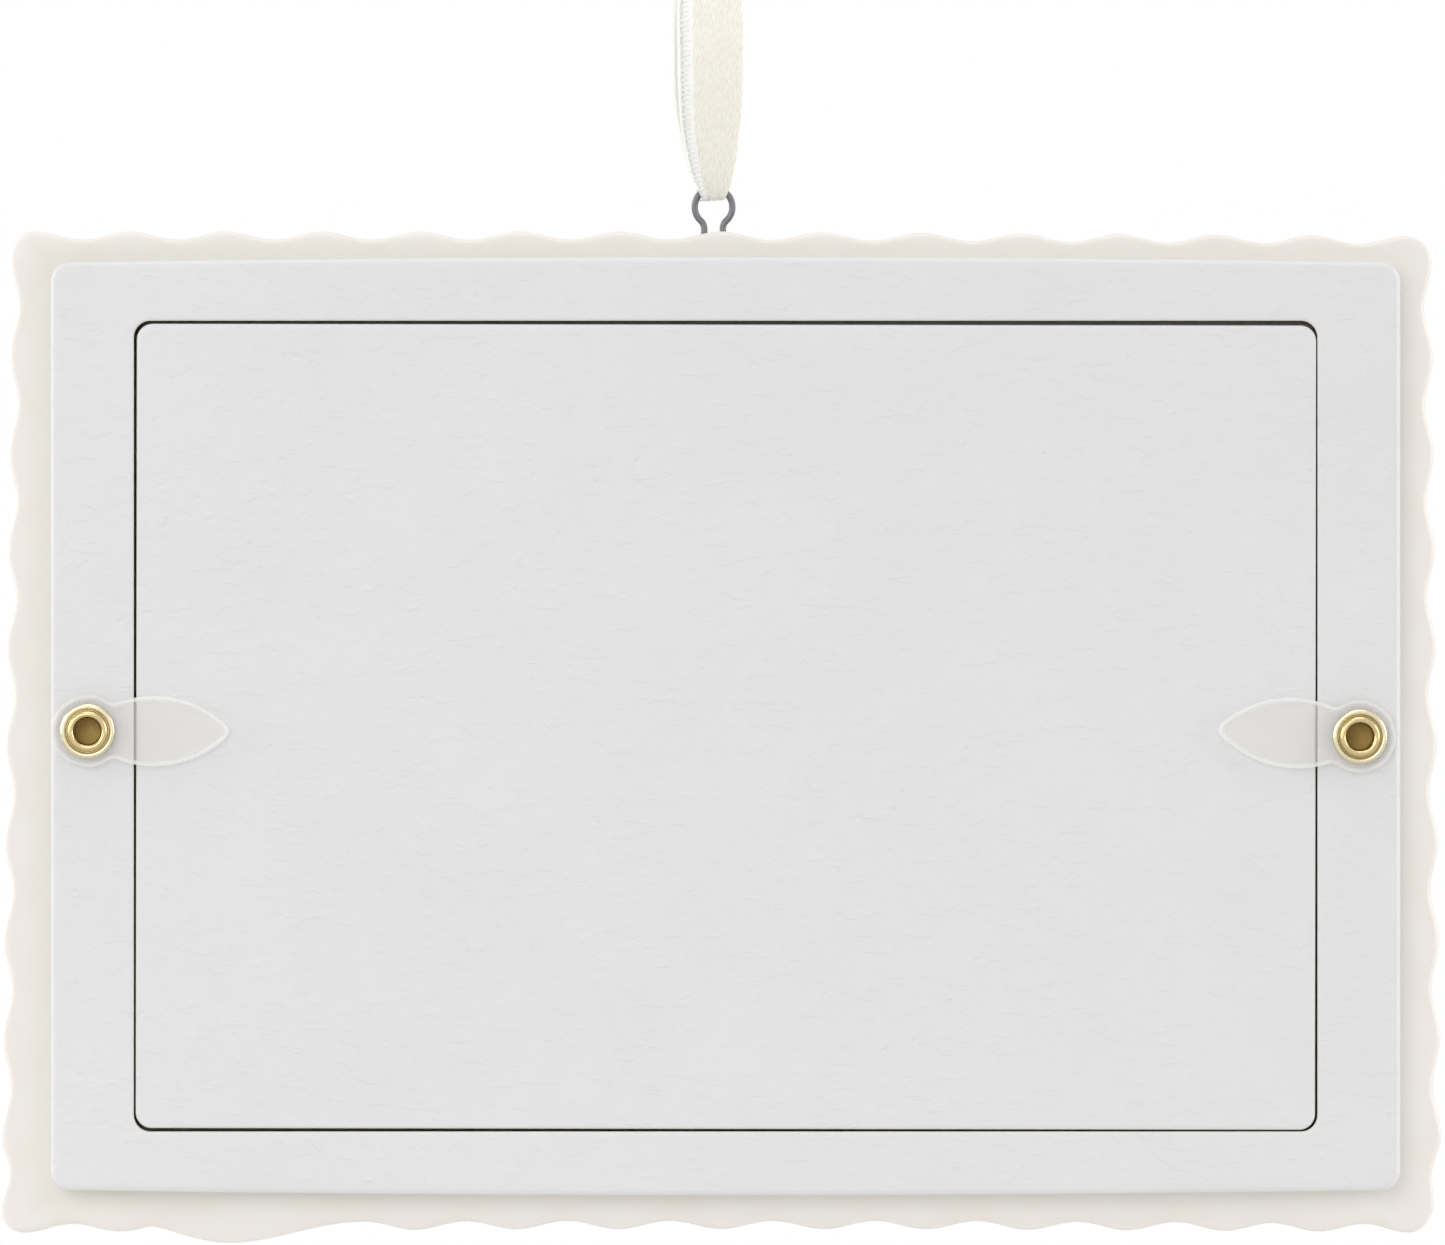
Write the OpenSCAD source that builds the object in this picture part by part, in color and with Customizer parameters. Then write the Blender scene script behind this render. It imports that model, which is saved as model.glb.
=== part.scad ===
// Hanging picture frame ornament, seen and dimensioned from its back.
// Plans are drawn in the back view: u to the right, v up, w out of the back.
// The origin is the top of the hanger's wire eye, where the ribbon carries the ornament.

/* [Front frame] */
// Width of the wavy front frame over its crests, at mid-height
frame_w = 130.6; // [116:0.2:150]
// Height of the wavy front frame over its crests
frame_h = 91; // [87:0.1:106]
// Thickness of the front frame
frame_t = 4.5; // [4:0.1:6]
// How much wider the frame is at its bottom than at its top
side_spread = 2; // [0:0.1:2.4]
// Radius of the frame's outer corners
corner_r = 2.25; // [1.9:0.05:3]
// Number of waves along the top and the bottom
waves_long = 14; // [10:1:18]
// Number of waves along each side
waves_short = 10; // [6:1:13]
// Depth of a wave, from crest to valley
wave_depth = 0.75; // [0.4:0.05:1]
// Length of the lowest wave of each side, as a share of the others
last_wave = 0.75; // [0.5:0.05:1]
// How far the waves of the top and the bottom crowd towards the corners
end_ease = 0.7; // [0:0.1:1.5]
// How far the two waves that ran together stand past the other crests
lobe_rise = 1.1; // [0:0.1:1.2]
// Waves from the left end of the bottom edge to the start of the joined ones
lobe_start = 1.3; // [0.5:0.1:7.5]
// Length of the joined waves, in waves
lobe_waves = 2.2; // [1.5:0.1:2.5]
// How far the joined waves' crest leans to the left: 1 stands in their middle
lobe_skew = 0.73; // [0.6:0.01:1]
// How far the bottom edge's ends hang under its middle
foot_bow = 0.35; // [0:0.05:0.6]
// How far the top edge falls towards its right end
top_fall = 0.4; // [0:0.05:0.6]
// How far the lower right corner is tucked in
corner_tuck = 1.1; // [0:0.1:1.5]
// Rounding of the outer edge at the front
front_round = 1.4; // [0.8:0.1:1.6]
// Rounding of the outer edge at the back
back_round = 0.5; // [0.4:0.1:1.2]

/* [Window and picture] */
// Width of the window opening
sight_w = 92; // [80:0.5:96]
// Height of the window opening
sight_h = 58; // [50:0.5:62]
// Corner radius of the window opening
sight_r = 2; // [1:0.1:4]
// Bevel of the window opening at the front
sight_bevel = 1.5; // [0.5:0.1:2.5]
// Thickness of the clear pane
pane_t = 1; // [0.8:0.1:1.5]
// How far the pane reaches behind the frame on each side
pane_lap = 3; // [2:0.1:4]
// Thickness of the picture card
card_t = 0.3; // [0.2:0.05:0.5]
// Clearance round the pane and round the card
fit_gap = 0.2; // [0.1:0.05:0.4]

/* [Back frame] */
// How far each side of the back frame lies inside the front frame's crests
side_in = 3.95; // [3:0.05:6]
// How far the back frame's top and bottom lie inside the front frame's crests
end_in = 3.3; // [2.5:0.05:5]
// Width of the back frame's sides, up to the panel's opening
side_rail = 7.55; // [7:0.05:10]
// Width of the back frame's top and bottom, up to the panel's opening
end_rail = 5.35; // [4:0.05:8]
// How far the back frame stands proud of the front frame
ring_t = 3.5; // [3:0.1:5]
// Radius of the back frame's corners
ring_r = 1.8; // [1.2:0.1:3]
// Rounding of the back frame's outer edge
ring_round = 0.5; // [0.3:0.1:1]
// How far the back frame's long edges bow out at the middle
ring_bow = 0.45; // [0:0.05:0.8]
// How far right of the front frame's centre the back frame sits
ring_right = 0.4; // [-1:0.1:1]
// How far above the front frame's centre the back frame sits
ring_up = 0.4; // [-1:0.05:1]

/* [Back panel] */
// Gap round the lift-out back panel
door_gap = 0.25; // [0.2:0.05:0.5]
// Corner radius of the back panel
door_r = 1.8; // [0.8:0.1:2.4]
// Corner radius of the opening that the panel lies in
open_r = 1.1; // [0.8:0.1:2]
// Rounding of the edges along the gap
gap_round = 0.25; // [0.2:0.05:0.6]

/* [Turn tabs] */
// Length of a tab, from its pivot to its tip
tab_len = 12.8; // [11:0.1:15]
// Width of a tab at its belly
tab_w = 6.4; // [5.8:0.1:7]
// Radius of the round end about the pivot
tab_end_r = 3.3; // [3:0.05:3.5]
// Distance of the belly from the pivot
tab_belly = 6; // [5.4:0.1:6.4]
// Radius of the tip
tab_tip_r = 0.5; // [0.3:0.05:0.8]
// Radius of the hollow between the round end and the belly
tab_waist_r = 1; // [0.5:0.1:1.5]
// Thickness of a tab
tab_t = 1; // [0.7:0.1:1.5]
// Distance of the left pivot from the back frame's edge
left_pivot_in = 3.4; // [3.3:0.05:3.8]
// Distance of the right pivot from the back frame's edge
right_pivot_in = 3.75; // [3.3:0.05:3.8]
// How far the left pivot is under the back frame's centre
left_pivot_down = 0.45; // [-1:0.05:1.5]
// How far the right pivot is under the back frame's centre
right_pivot_down = 0.95; // [-1:0.05:1.5]
// Turn of the right tab at rest, tip up
right_tab_turn = 3; // [-5:0.5:5]

/* [Eyelets] */
// Bore of the hollow eyelets
eyelet_bore_d = 2.35; // [2:0.05:2.6]
// Wall of the eyelet's barrel
eyelet_wall = 0.28; // [0.2:0.02:0.35]
// Outer diameter of the rolled rim
rim_d = 3.8; // [3.6:0.05:4]
// Height of the rolled rim
rim_h = 0.55; // [0.4:0.05:0.7]
// Diameter of the hidden flange
flange_d = 4.6; // [4:0.1:5]
// Thickness of the hidden flange
flange_t = 0.3; // [0.2:0.05:0.4]
// Diameter of the domed washer under the rim
washer_d = 5; // [4.8:0.1:5.6]
// Thickness of the washer where the rim bears on it
washer_seat_t = 0.3; // [0.2:0.05:0.5]
// Height of the washer's dome above that seat
washer_dome = 0.28; // [0.1:0.02:0.4]
// Running clearance round and under a tab
running_gap = 0.05; // [0.03:0.01:0.08]

/* [Hanger] */
// Diameter of the hanger's wire
wire_d = 0.6; // [0.5:0.05:0.7]
// Radius of the wire's eye, on its centre line
eye_r = 1.72; // [1.65:0.01:2.2]
// Half the distance between the wire's legs
leg_half = 0.85; // [0.7:0.05:1]
// Radius of the bends between the eye and the legs
leg_bend_r = 0.9; // [0.6:0.1:1.2]
// Height of the eye's top over the frame's crests
eye_rise = 4; // [3.9:0.1:5]
// Depth of the legs in the frame's edge
leg_depth = 8; // [5:0.5:10]
// Clearance round a leg
leg_gap = 0.05; // [0.02:0.01:0.1]
// How far the hanger is left of the front frame's centre
hanger_left = 0.7; // [-2:0.1:2]

/* [Ribbon] */
// Thickness of the satin ribbon
ribbon_t = 0.3; // [0.2:0.05:0.35]
// Widest that the ribbon shows in its loop
ribbon_w = 6; // [5:0.1:6.6]
// Depth of the loop, from front to back
loop_deep = 6.4; // [5:0.1:9]
// Height of the loop over the eye, up to the knot
loop_h = 22.1; // [18:0.1:30]
// Width of the knot
knot_w = 5.2; // [4:0.1:7]
// Depth of the knot
knot_deep = 4.2; // [3.5:0.1:6]
// Height of the knot
knot_h = 3.6; // [3:0.1:5]
// Length of a ribbon tail over the knot
tail_len = 9; // [5:0.5:14]
// How far a tail leans out at its end
tail_lean = 3.4; // [2:0.1:5]

/* [Hidden] */
$fn = 64;
cut = 1;               // how far a cutting tool runs past the face that it opens
wave_steps = 6;        // points along one wave
tuck_reach = 6.7;      // height over which the lower right corner is tucked in
tuck_fade = 8;         // how soon the tuck fades along the bottom: higher is sooner
corner_steps = 5;      // steps along a quarter turn in a plan
round_steps = 3;       // steps along a plate's rounded edge
edge_steps = 2;        // steps along the wavy edge's rounding
wire_sides = 10;
bend_steps = 5;        // steps along a bend of the wire
eye_steps = 12;        // steps along each half of the wire's eye
half_turn = 180;       // degrees
knot_neck = 0.62;      // width of the knot's ends, as a share of its middle
knot_steps = 6;        // steps up the knot
tail_steps = 3;        // steps up a tail
tail_sunk = 0.6;       // how deep a tail starts in the knot
tail_foot = 0.2;       // how far out a tail starts, as a share of how far it leans
tail_out = [0.12, 0.31]; // how far back or forward it starts and ends, as shares of the knot's depth

// Levels, out of the back
frame_back = frame_t / 2;
frame_front = -frame_t / 2;
card_back = frame_back + card_t;
ring_back = frame_back + ring_t;
tab_low = ring_back + running_gap;
washer_low = tab_low + tab_t + running_gap;
rim_low = washer_low + washer_seat_t;

// Places in the back view
frame_at = [hanger_left, -eye_rise - frame_h / 2];
ring_at = frame_at + [ring_right, ring_up];
ring_w = frame_w - 2 * side_in;
ring_h = frame_h - 2 * end_in;
left_pivot = ring_at + [-ring_w / 2 + left_pivot_in, -left_pivot_down];
right_pivot = ring_at + [ring_w / 2 - right_pivot_in, -right_pivot_down];

// Sizes that follow
eyelet_bore_r = eyelet_bore_d / 2;
barrel_r = eyelet_bore_r + eyelet_wall;
tab_bore_r = barrel_r + running_gap;
flange_pocket_r = flange_d / 2 + running_gap;
flange_pocket_t = flange_t + running_gap;
rim_r = rim_d / 2;
washer_r = washer_d / 2;
leg_hole_r = wire_d / 2 + leg_gap;
open_w = ring_w - 2 * side_rail;
open_h = ring_h - 2 * end_rail;
door_w = open_w - 2 * door_gap;
door_h = open_h - 2 * door_gap;

// Route of the ribbon as measured on a loop 6.4 deep and 22.1 high, of a ribbon 6 wide:
// right, out of the back, up, and the width that shows
measured_route = [
    [-0.55, -0.80, 21.8, 3.6], [-0.65, -1.60, 20.2, 4.8], [-0.75, -2.40, 18.2, 5.6],
    [-0.80, -3.00, 15.6, 6.0], [-0.85, -3.20, 12.8, 6.0], [-0.85, -3.00, 10.0, 6.0],
    [-0.75, -2.60, 7.2, 5.8], [-0.60, -2.10, 4.8, 5.2], [-0.40, -1.60, 2.6, 4.4],
    [-0.15, -1.15, 0.9, 3.4], [0.00, -0.85, -0.1, 2.8], [0.00, -0.50, -0.75, 2.4],
    [0.00, 0.00, -1.0, 2.1], [0.00, 0.50, -0.75, 2.4], [0.00, 0.85, -0.1, 2.9],
    [-0.10, 1.15, 0.9, 3.6], [-0.20, 1.60, 2.6, 4.5], [-0.30, 2.10, 4.8, 5.2],
    [-0.30, 2.60, 7.2, 5.7], [-0.30, 3.00, 10.0, 5.9], [-0.30, 3.20, 12.8, 6.0],
    [-0.35, 3.00, 15.6, 6.0], [-0.40, 2.40, 18.2, 5.6], [-0.45, 1.60, 20.2, 4.8],
    [-0.50, 0.80, 21.8, 3.6],
];
measured_loop = [6, 6.4, 22.1];

// The route to size; what lies in the wire's eye keeps its height
ribbon_route = [for (p = measured_route) [
    p[0], p[1] * loop_deep / measured_loop[1],
    p[2] * (p[2] > 0 ? loop_h / measured_loop[2] : 1), p[3] * ribbon_w / measured_loop[0],
]];
knot_at = [-0.5, 0, loop_h];

// Points along an arc about a centre
function arc(centre, r, from, to, steps) =
    [for (i = [0 : steps]) let (a = from + (to - from) * i / steps) centre + r * [cos(a), sin(a)]];

// A plan at a level
function at_level(plan, w) = [for (p = plan) [p[0], p[1], w]];

// How far the wavy edge lies inside its crests, counted in waves from a crest
function wave(t) = -wave_depth * (1 - cos(360 * t)) / 2;

// The same along the bottom edge, where two waves ran together into one broad lobe
function bottom_wave(t) =
    let (f = (t - lobe_start) / lobe_waves)
    f <= 0 || f >= 1 ? wave(t)
    : let (base = wave(lobe_start) * (1 - f) + wave(lobe_start + lobe_waves) * f)
        base + (lobe_rise - base) * (1 - cos(360 * f ^ lobe_skew)) / 2;

// Height on a side, as a share from its foot, that is a number of waves over it
function side_share(k) =
    (k < 1 ? k * last_wave : k - 1 + last_wave) / (waves_short - 1 + last_wave);

// Place along the top or the bottom, from its middle, at a share of its length
function long_at(length, share) = length * (share - 0.5) - end_ease * sin(360 * share);

// How far a height lies into the lower right corner, from 0 to 1
function tucked(v) =
    let (f = max(0, min(1, 1 - (v + frame_h / 2) / tuck_reach))) f * f * (3 - 2 * f);

// The frame widens towards its bottom, its foot bows, its top falls to the right, and its
// lower right corner is tucked in
function uneven(p) =
    let (x = 2 * p[0] / frame_w, y = 2 * p[1] / frame_h)
    [
        p[0] * (1 - side_spread / frame_w * y / 2) - corner_tuck * max(0, x) ^ tuck_fade * tucked(p[1]),
        p[1] - foot_bow * x * x * max(0, -y) - top_fall * max(0, x) * max(0, y),
    ];

// Outline of the wavy frame, taken in by a distance
function wavy_plan(inset) =
    let (
        a = frame_w / 2 - inset, b = frame_h / 2 - inset, r = corner_r - inset,
        along = 2 * (frame_w / 2 - corner_r), up = 2 * (frame_h / 2 - corner_r),
        n = waves_long * wave_steps, m = waves_short * wave_steps,
        side = [for (i = [1 : m - 1]) [a + wave(i / wave_steps), up * (side_share(i / wave_steps) - 0.5)]],
        edge = concat(
            side,
            arc([along / 2, up / 2], r, 0, 90, corner_steps),
            [for (i = [n - 1 : -1 : 1]) [long_at(along, i / n), b + wave(i / wave_steps)]],
            arc([-along / 2, up / 2], r, 90, 180, corner_steps),
            [for (i = [m - 2 : -1 : 0]) [-side[i][0], side[i][1]]],
            arc([-along / 2, -up / 2], r, 180, 270, corner_steps),
            [for (i = [1 : n - 1]) [long_at(along, i / n), -b - bottom_wave(i / wave_steps)]],
            arc([along / 2, -up / 2], r, 270, 360, corner_steps)
        )
    )
    [for (p = edge) uneven(p)];

// For each point of the wavy outline, the point of a plain plate's outline that it faces
function facing_points() =
    let (n = waves_long * wave_steps, m = waves_short * wave_steps, c = corner_steps + 1)
    concat(
        [for (i = [1 : m - 1]) i < m / 2 ? 4 * c - 1 : 0], [for (k = [0 : c - 1]) k],
        [for (i = [1 : n - 1]) i < n / 2 ? c - 1 : c], [for (k = [0 : c - 1]) c + k],
        [for (i = [1 : m - 1]) i < m / 2 ? 2 * c - 1 : 2 * c], [for (k = [0 : c - 1]) 2 * c + k],
        [for (i = [1 : n - 1]) i < n / 2 ? 3 * c - 1 : 3 * c], [for (k = [0 : c - 1]) 3 * c + k]
    );

// Outline of a rounded plate whose long edges may bow out, grown by a distance
function plate_plan(w, h, r, bow = 0, grow = 0) =
    let (
        a = w / 2 - r, b = h / 2 - r, s = r + grow, steps = bow > 0 ? 10 : 1,
        arched = [for (i = [1 : steps - 1]) let (x = 2 * i / steps - 1) [a * x, bow * (1 - x * x)]]
    )
    concat(
        arc([a, b], s, 0, 90, corner_steps),
        [for (p = arched) [-p[0], b + s + p[1]]],
        arc([-a, b], s, 90, 180, corner_steps),
        arc([-a, -b], s, 180, 270, corner_steps),
        [for (p = arched) [p[0], -b - s - p[1]]],
        arc([a, -b], s, 270, 360, corner_steps)
    );

// Triangles between closed rings of n points each, the first ring's points starting at a number
function bands(rings, n, start) = [
    for (k = [0 : rings - 2], i = [0 : n - 1])
        let (j = (i + 1) % n, low = start + k * n, high = low + n)
        each [[low + i, high + i, high + j], [low + i, high + j, low + j]]
];

// Solid through a list of closed rings that have the same number of points
module loft(rings) {
    n = len(rings[0]);
    last = (len(rings) - 1) * n;
    polyhedron(
        points = [for (ring = rings) each ring],
        faces = concat(
            [[for (i = [0 : n - 1]) i]],
            bands(len(rings), n, 0),
            [[for (i = [n - 1 : -1 : 0]) last + i]]
        ),
        convexity = 6
    );
}

// Flat ring of triangles between a wavy ring and the plain one inside it, each given by
// the number of its first point; it faces the back, or the front
function bridge(outer, inner, facing, to_front) = [
    for (i = [0 : len(facing) - 1])
        let (
            j = (i + 1) % len(facing), p = inner + facing[i], q = inner + facing[j],
            pair = concat([[outer + i, p, outer + j]], p == q ? [] : [[outer + j, p, q]])
        )
        each [for (t = pair) to_front ? [t[0], t[2], t[1]] : t]
];

// Turns the back view's plan upright, with its back towards +Y
module upright() {
    rotate([90, 0, 180]) children();
}

// Moves to a place in the back view
module place(at, w = 0) {
    translate([at[0], at[1], w]) children();
}

// The wavy frame in one skin: round its outer edge, in over its back, down through
// the pane's rebate and the window, and out over its front
module wavy_frame() {
    front = [for (i = [0 : edge_steps]) let (a = 90 * i / edge_steps)
        at_level(wavy_plan(front_round * (1 - sin(a))), frame_front + front_round * (1 - cos(a)))];
    back = [for (i = [0 : edge_steps]) let (a = 90 * i / edge_steps)
        at_level(wavy_plan(back_round * (1 - cos(a))), frame_back - back_round * (1 - sin(a)))];
    outside = concat(front, back);
    sight = plate_plan(sight_w, sight_h, sight_r);
    bevelled = plate_plan(sight_w, sight_h, sight_r, 0, sight_bevel);
    rebate = plate_plan(sight_w, sight_h, sight_r, 0, pane_lap + fit_gap);
    inside = [
        at_level(rebate, frame_back), at_level(rebate, frame_back - pane_t),
        at_level(sight, frame_back - pane_t), at_level(sight, frame_front + sight_bevel),
        at_level(bevelled, frame_front),
    ];
    facing = facing_points();
    n = len(facing);
    m = len(sight);
    first_inside = len(outside) * n;
    last_outside = first_inside - n;
    last_inside = first_inside + (len(inside) - 1) * m;
    polyhedron(
        points = concat([for (ring = outside) each ring], [for (ring = inside) each ring]),
        faces = concat(
            bands(len(outside), n, 0),
            bridge(last_outside, first_inside, facing, false),
            bands(len(inside), m, first_inside),
            bridge(0, last_inside, facing, true)
        ),
        convexity = 8
    );
}

module front_frame() {
    color("antiquewhite") upright() difference() {
        place(frame_at) wavy_frame();
        // Holes for the hanger's legs, down from the middle crest
        for (side = [-1, 1])
            translate([side * leg_half, -eye_rise - leg_depth - leg_gap, 0])
                rotate([-90, 0, 0]) cylinder(h = leg_depth + leg_gap + cut, r = leg_hole_r);
    }
}

module window_pane() {
    color("lightblue", 0.4) upright() place(frame_at, frame_back - pane_t)
        linear_extrude(pane_t) polygon(plate_plan(sight_w, sight_h, sight_r, 0, pane_lap));
}

module picture_card() {
    color("whitesmoke") upright() place(ring_at, frame_back)
        linear_extrude(card_t) polygon(plate_plan(door_w, door_h, door_r, 0, -fit_gap));
}

// Plate from one level to another, with its outer edge rounded at the back
module rounded_plate(w, h, r, bow, round_r, low, high) {
    edge = [for (i = [0 : round_steps]) let (a = 90 * i / round_steps)
        at_level(plate_plan(w, h, r, bow, -round_r * (1 - cos(a))), high - round_r * (1 - sin(a)))];
    loft(concat([at_level(plate_plan(w, h, r, bow), low)], edge));
}

// Cutter for the panel's opening, which flares where it meets the back
module opening_cutter() {
    flare = [for (i = [0 : round_steps]) let (a = 90 * i / round_steps)
        at_level(
            plate_plan(open_w, open_h, open_r, 0, gap_round * (1 - cos(a))),
            ring_back - gap_round * (1 - sin(a))
        )];
    wide = plate_plan(open_w, open_h, open_r, 0, gap_round);
    loft(concat(
        [at_level(plate_plan(open_w, open_h, open_r), frame_back - cut)],
        flare,
        [at_level(wide, ring_back + cut)]
    ));
}

module back_frame() {
    color("white") upright() difference() {
        place(ring_at) rounded_plate(ring_w, ring_h, ring_r, ring_bow, ring_round, frame_back, ring_back);
        place(ring_at) opening_cutter();
        for (pivot = [left_pivot, right_pivot]) {
            place(pivot, frame_back - cut) cylinder(h = ring_t + 2 * cut, r = tab_bore_r);
            // Pocket on the hidden side for the eyelet's flange
            place(pivot, frame_back - cut) cylinder(h = flange_pocket_t + cut, r = flange_pocket_r);
        }
    }
}

module back_panel() {
    color("snow") upright() place(ring_at)
        rounded_plate(door_w, door_h, door_r, 0, gap_round, card_back, ring_back);
}

// Outline of a tab: round about its pivot, hollow at the waist, then a leaf with a small round tip
function tab_plan() =
    let (
        reach = tab_len - tab_tip_r - tab_belly,
        side_r = (reach ^ 2 + (tab_w / 2) ^ 2 - tab_tip_r ^ 2) / (tab_w - 2 * tab_tip_r),
        sink = side_r - tab_w / 2,
        from_pivot = tab_end_r + tab_waist_r, from_side = side_r + tab_waist_r,
        apart = norm([tab_belly, sink]),
        along = (from_pivot ^ 2 - from_side ^ 2 + apart ^ 2) / (2 * apart),
        off = sqrt(from_pivot ^ 2 - along ^ 2),
        waist = (along * [tab_belly, -sink] + off * [sink, tab_belly]) / apart,
        tip_a = atan2(sink, reach),
        side_a = atan2(waist[1] + sink, waist[0] - tab_belly),
        end_a = atan2(waist[1], waist[0]),
        upper = concat(
            arc([tab_len - tab_tip_r, 0], tab_tip_r, 0, tip_a, 5),
            arc([tab_belly, -sink], side_r, tip_a + 2, side_a - 2, 16),
            arc(waist, tab_waist_r, side_a - half_turn, end_a - half_turn, 6),
            arc([0, 0], tab_end_r, end_a + 5, half_turn, 16)
        )
    )
    concat(upper, [for (i = [len(upper) - 2 : -1 : 1]) [upper[i][0], -upper[i][1]]]);

// A clear tab that turns about its eyelet
module turn_tab(pivot, turn) {
    color("gainsboro", 0.5) upright() place(pivot, tab_low) rotate([0, 0, turn]) difference() {
        linear_extrude(tab_t) polygon(tab_plan());
        translate([0, 0, -cut]) cylinder(h = tab_t + 2 * cut, r = tab_bore_r);
    }
}

// A hollow brass eyelet: hidden flange, barrel and rolled rim
module eyelet(pivot) {
    mid_r = (rim_r + eyelet_bore_r) / 2;
    half = (rim_r - eyelet_bore_r) / 2;
    flange_high = frame_back + flange_pocket_t;
    color("gold") upright() place(pivot) rotate_extrude() polygon(concat(
        [[eyelet_bore_r, flange_high - flange_t], [flange_d / 2, flange_high - flange_t]],
        [[flange_d / 2, flange_high], [barrel_r, flange_high], [barrel_r, rim_low]],
        [for (a = [0 : 18 : 180]) [mid_r + half * cos(a), rim_low + rim_h * sin(a)]]
    ));
}

// A domed brass washer with a flat seat for the rim
module washer(pivot) {
    dome_in = rim_r + running_gap;
    mid_r = (washer_r + dome_in) / 2;
    half = (washer_r - dome_in) / 2;
    color("goldenrod") upright() place(pivot) rotate_extrude() polygon(concat(
        [[tab_bore_r, washer_low], [washer_r, washer_low]],
        [for (a = [0 : 18 : 180]) [mid_r + half * cos(a), rim_low + washer_dome * sin(a)]],
        [[tab_bore_r, rim_low]]
    ));
}

// Centre line of the hanger: up one leg, round the eye and down the other
function wire_route() =
    let (
        rise = sqrt((eye_r + leg_bend_r) ^ 2 - (leg_half + leg_bend_r) ^ 2),
        bend = [leg_half + leg_bend_r, -eye_r - rise],
        turn = atan2(rise, -leg_half - leg_bend_r),
        eye = arc([0, -eye_r], eye_r, turn - half_turn, 90, eye_steps),
        right = concat(
            [[leg_half, -eye_rise - leg_depth]],
            arc(bend, leg_bend_r, half_turn, turn, bend_steps),
            [for (i = [1 : eye_steps]) eye[i]]
        )
    )
    concat(right, [for (i = [len(right) - 2 : -1 : 0]) [-right[i][0], right[i][1]]]);

// Direction of a route at one of its points
function heading(route, i) =
    let (d = route[min(i + 1, len(route) - 1)] - route[max(i - 1, 0)]) d / norm(d);

module hanger_wire() {
    route = wire_route();
    rings = [for (i = [0 : len(route) - 1]) let (t = heading(route, i))
        [for (s = [0 : wire_sides - 1]) let (a = -360 * s / wire_sides, q = wire_d / 2 * cos(a))
            [route[i][0] - q * t[1], route[i][1] + q * t[0], wire_d / 2 * sin(a)]]];
    color("dimgray") upright() loft(rings);
}

// Section of the ribbon: flat, with thin edges; across, and through its thickness
function ribbon_section(w) =
    let (a = w / 2, b = ribbon_t / 2, c = ribbon_t)
    [[a, b / 2], [a - c, b], [c - a, b], [-a, b / 2], [-a, -b / 2], [c - a, -b], [a - c, -b], [a, -b / 2]];

// Ring of a ribbon at a point of its route, square to its heading in the side view
function ribbon_ring(p, t) =
    [for (q = ribbon_section(p[3])) [p[0] + q[0], p[2] + q[1] * t[1], p[1] - q[1] * t[2]]];

module ribbon() {
    spine = [for (p = ribbon_route) [0, p[1], p[2]]];
    color("ivory") upright()
        loft([for (i = [0 : len(spine) - 1]) ribbon_ring(ribbon_route[i], heading(spine, i))]);
}

// Ring round the knot at a share of its height
function knot_ring(f) =
    let (swell = knot_neck + (1 - knot_neck) * sin(half_turn * f))
    [for (a = [0 : 30 : 330]) [knot_w / 2 * swell * cos(a), knot_deep / 2 * swell * sin(a), knot_h * f]];

// Ring round a tail at a share of its length; it widens and leans out to its side
function tail_ring(side, f) =
    let (
        foot_w = knot_w / 2, lean = side * tail_lean * (tail_foot + (1 - tail_foot) * f * f),
        out = side * knot_deep * (tail_out[0] + (tail_out[1] - tail_out[0]) * f)
    )
    [for (q = ribbon_section(foot_w + (knot_w - foot_w) * f))
        [lean + q[0], out + q[1], knot_h - tail_sunk + tail_len * f]];

// The knot: a pulled-in lump with two flat tails
module ribbon_knot() {
    color("ivory") upright() rotate([-90, 0, 0]) translate([knot_at[0], -knot_at[1], knot_at[2]]) {
        loft([for (i = [0 : knot_steps]) knot_ring(i / knot_steps)]);
        for (side = [-1, 1])
            loft([for (i = [0 : tail_steps]) tail_ring(side, i / tail_steps)]);
    }
}

front_frame();
window_pane();
picture_card();
back_frame();
back_panel();
turn_tab(left_pivot, 0);  // left_tab
turn_tab(right_pivot, half_turn - right_tab_turn);  // right_tab
eyelet(left_pivot);  // left_eyelet
eyelet(right_pivot);  // right_eyelet
washer(left_pivot);  // left_washer
washer(right_pivot);  // right_washer
hanger_wire();
ribbon();
ribbon_knot();
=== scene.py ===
"""Looks of the hanging picture frame ornament, seen from its back.

The pieces are built in millimetres in the back view (u right, v up, w out of the back) and turned
into the part's own frame, in metres, when their meshes are made.
"""

import logging
import math
from collections.abc import Mapping, Sequence
from dataclasses import dataclass, field
from enum import Enum
from typing import Any

import bmesh
import bpy
import numpy as np
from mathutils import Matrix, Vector


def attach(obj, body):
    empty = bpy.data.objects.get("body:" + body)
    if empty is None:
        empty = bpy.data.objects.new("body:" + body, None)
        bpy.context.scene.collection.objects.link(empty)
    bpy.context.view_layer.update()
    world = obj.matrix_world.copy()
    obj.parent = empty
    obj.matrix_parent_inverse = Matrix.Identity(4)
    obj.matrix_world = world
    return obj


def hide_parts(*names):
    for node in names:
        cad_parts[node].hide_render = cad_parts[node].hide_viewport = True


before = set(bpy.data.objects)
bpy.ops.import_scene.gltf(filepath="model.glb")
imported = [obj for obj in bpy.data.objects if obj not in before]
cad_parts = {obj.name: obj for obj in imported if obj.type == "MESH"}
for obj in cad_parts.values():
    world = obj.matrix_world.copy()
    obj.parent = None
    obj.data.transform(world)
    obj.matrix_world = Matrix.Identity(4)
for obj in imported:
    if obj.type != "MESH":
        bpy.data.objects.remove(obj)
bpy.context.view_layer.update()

log = logging.getLogger("ornament")
Point = tuple[float, float]
Faces = list[tuple[int, ...]]
Skin = tuple[np.ndarray, Faces]
ClothPart = tuple[Skin, np.ndarray, np.ndarray]
Material = bpy.types.Material
Node = bpy.types.Node
Object = bpy.types.Object
Socket = bpy.types.NodeSocket
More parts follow.
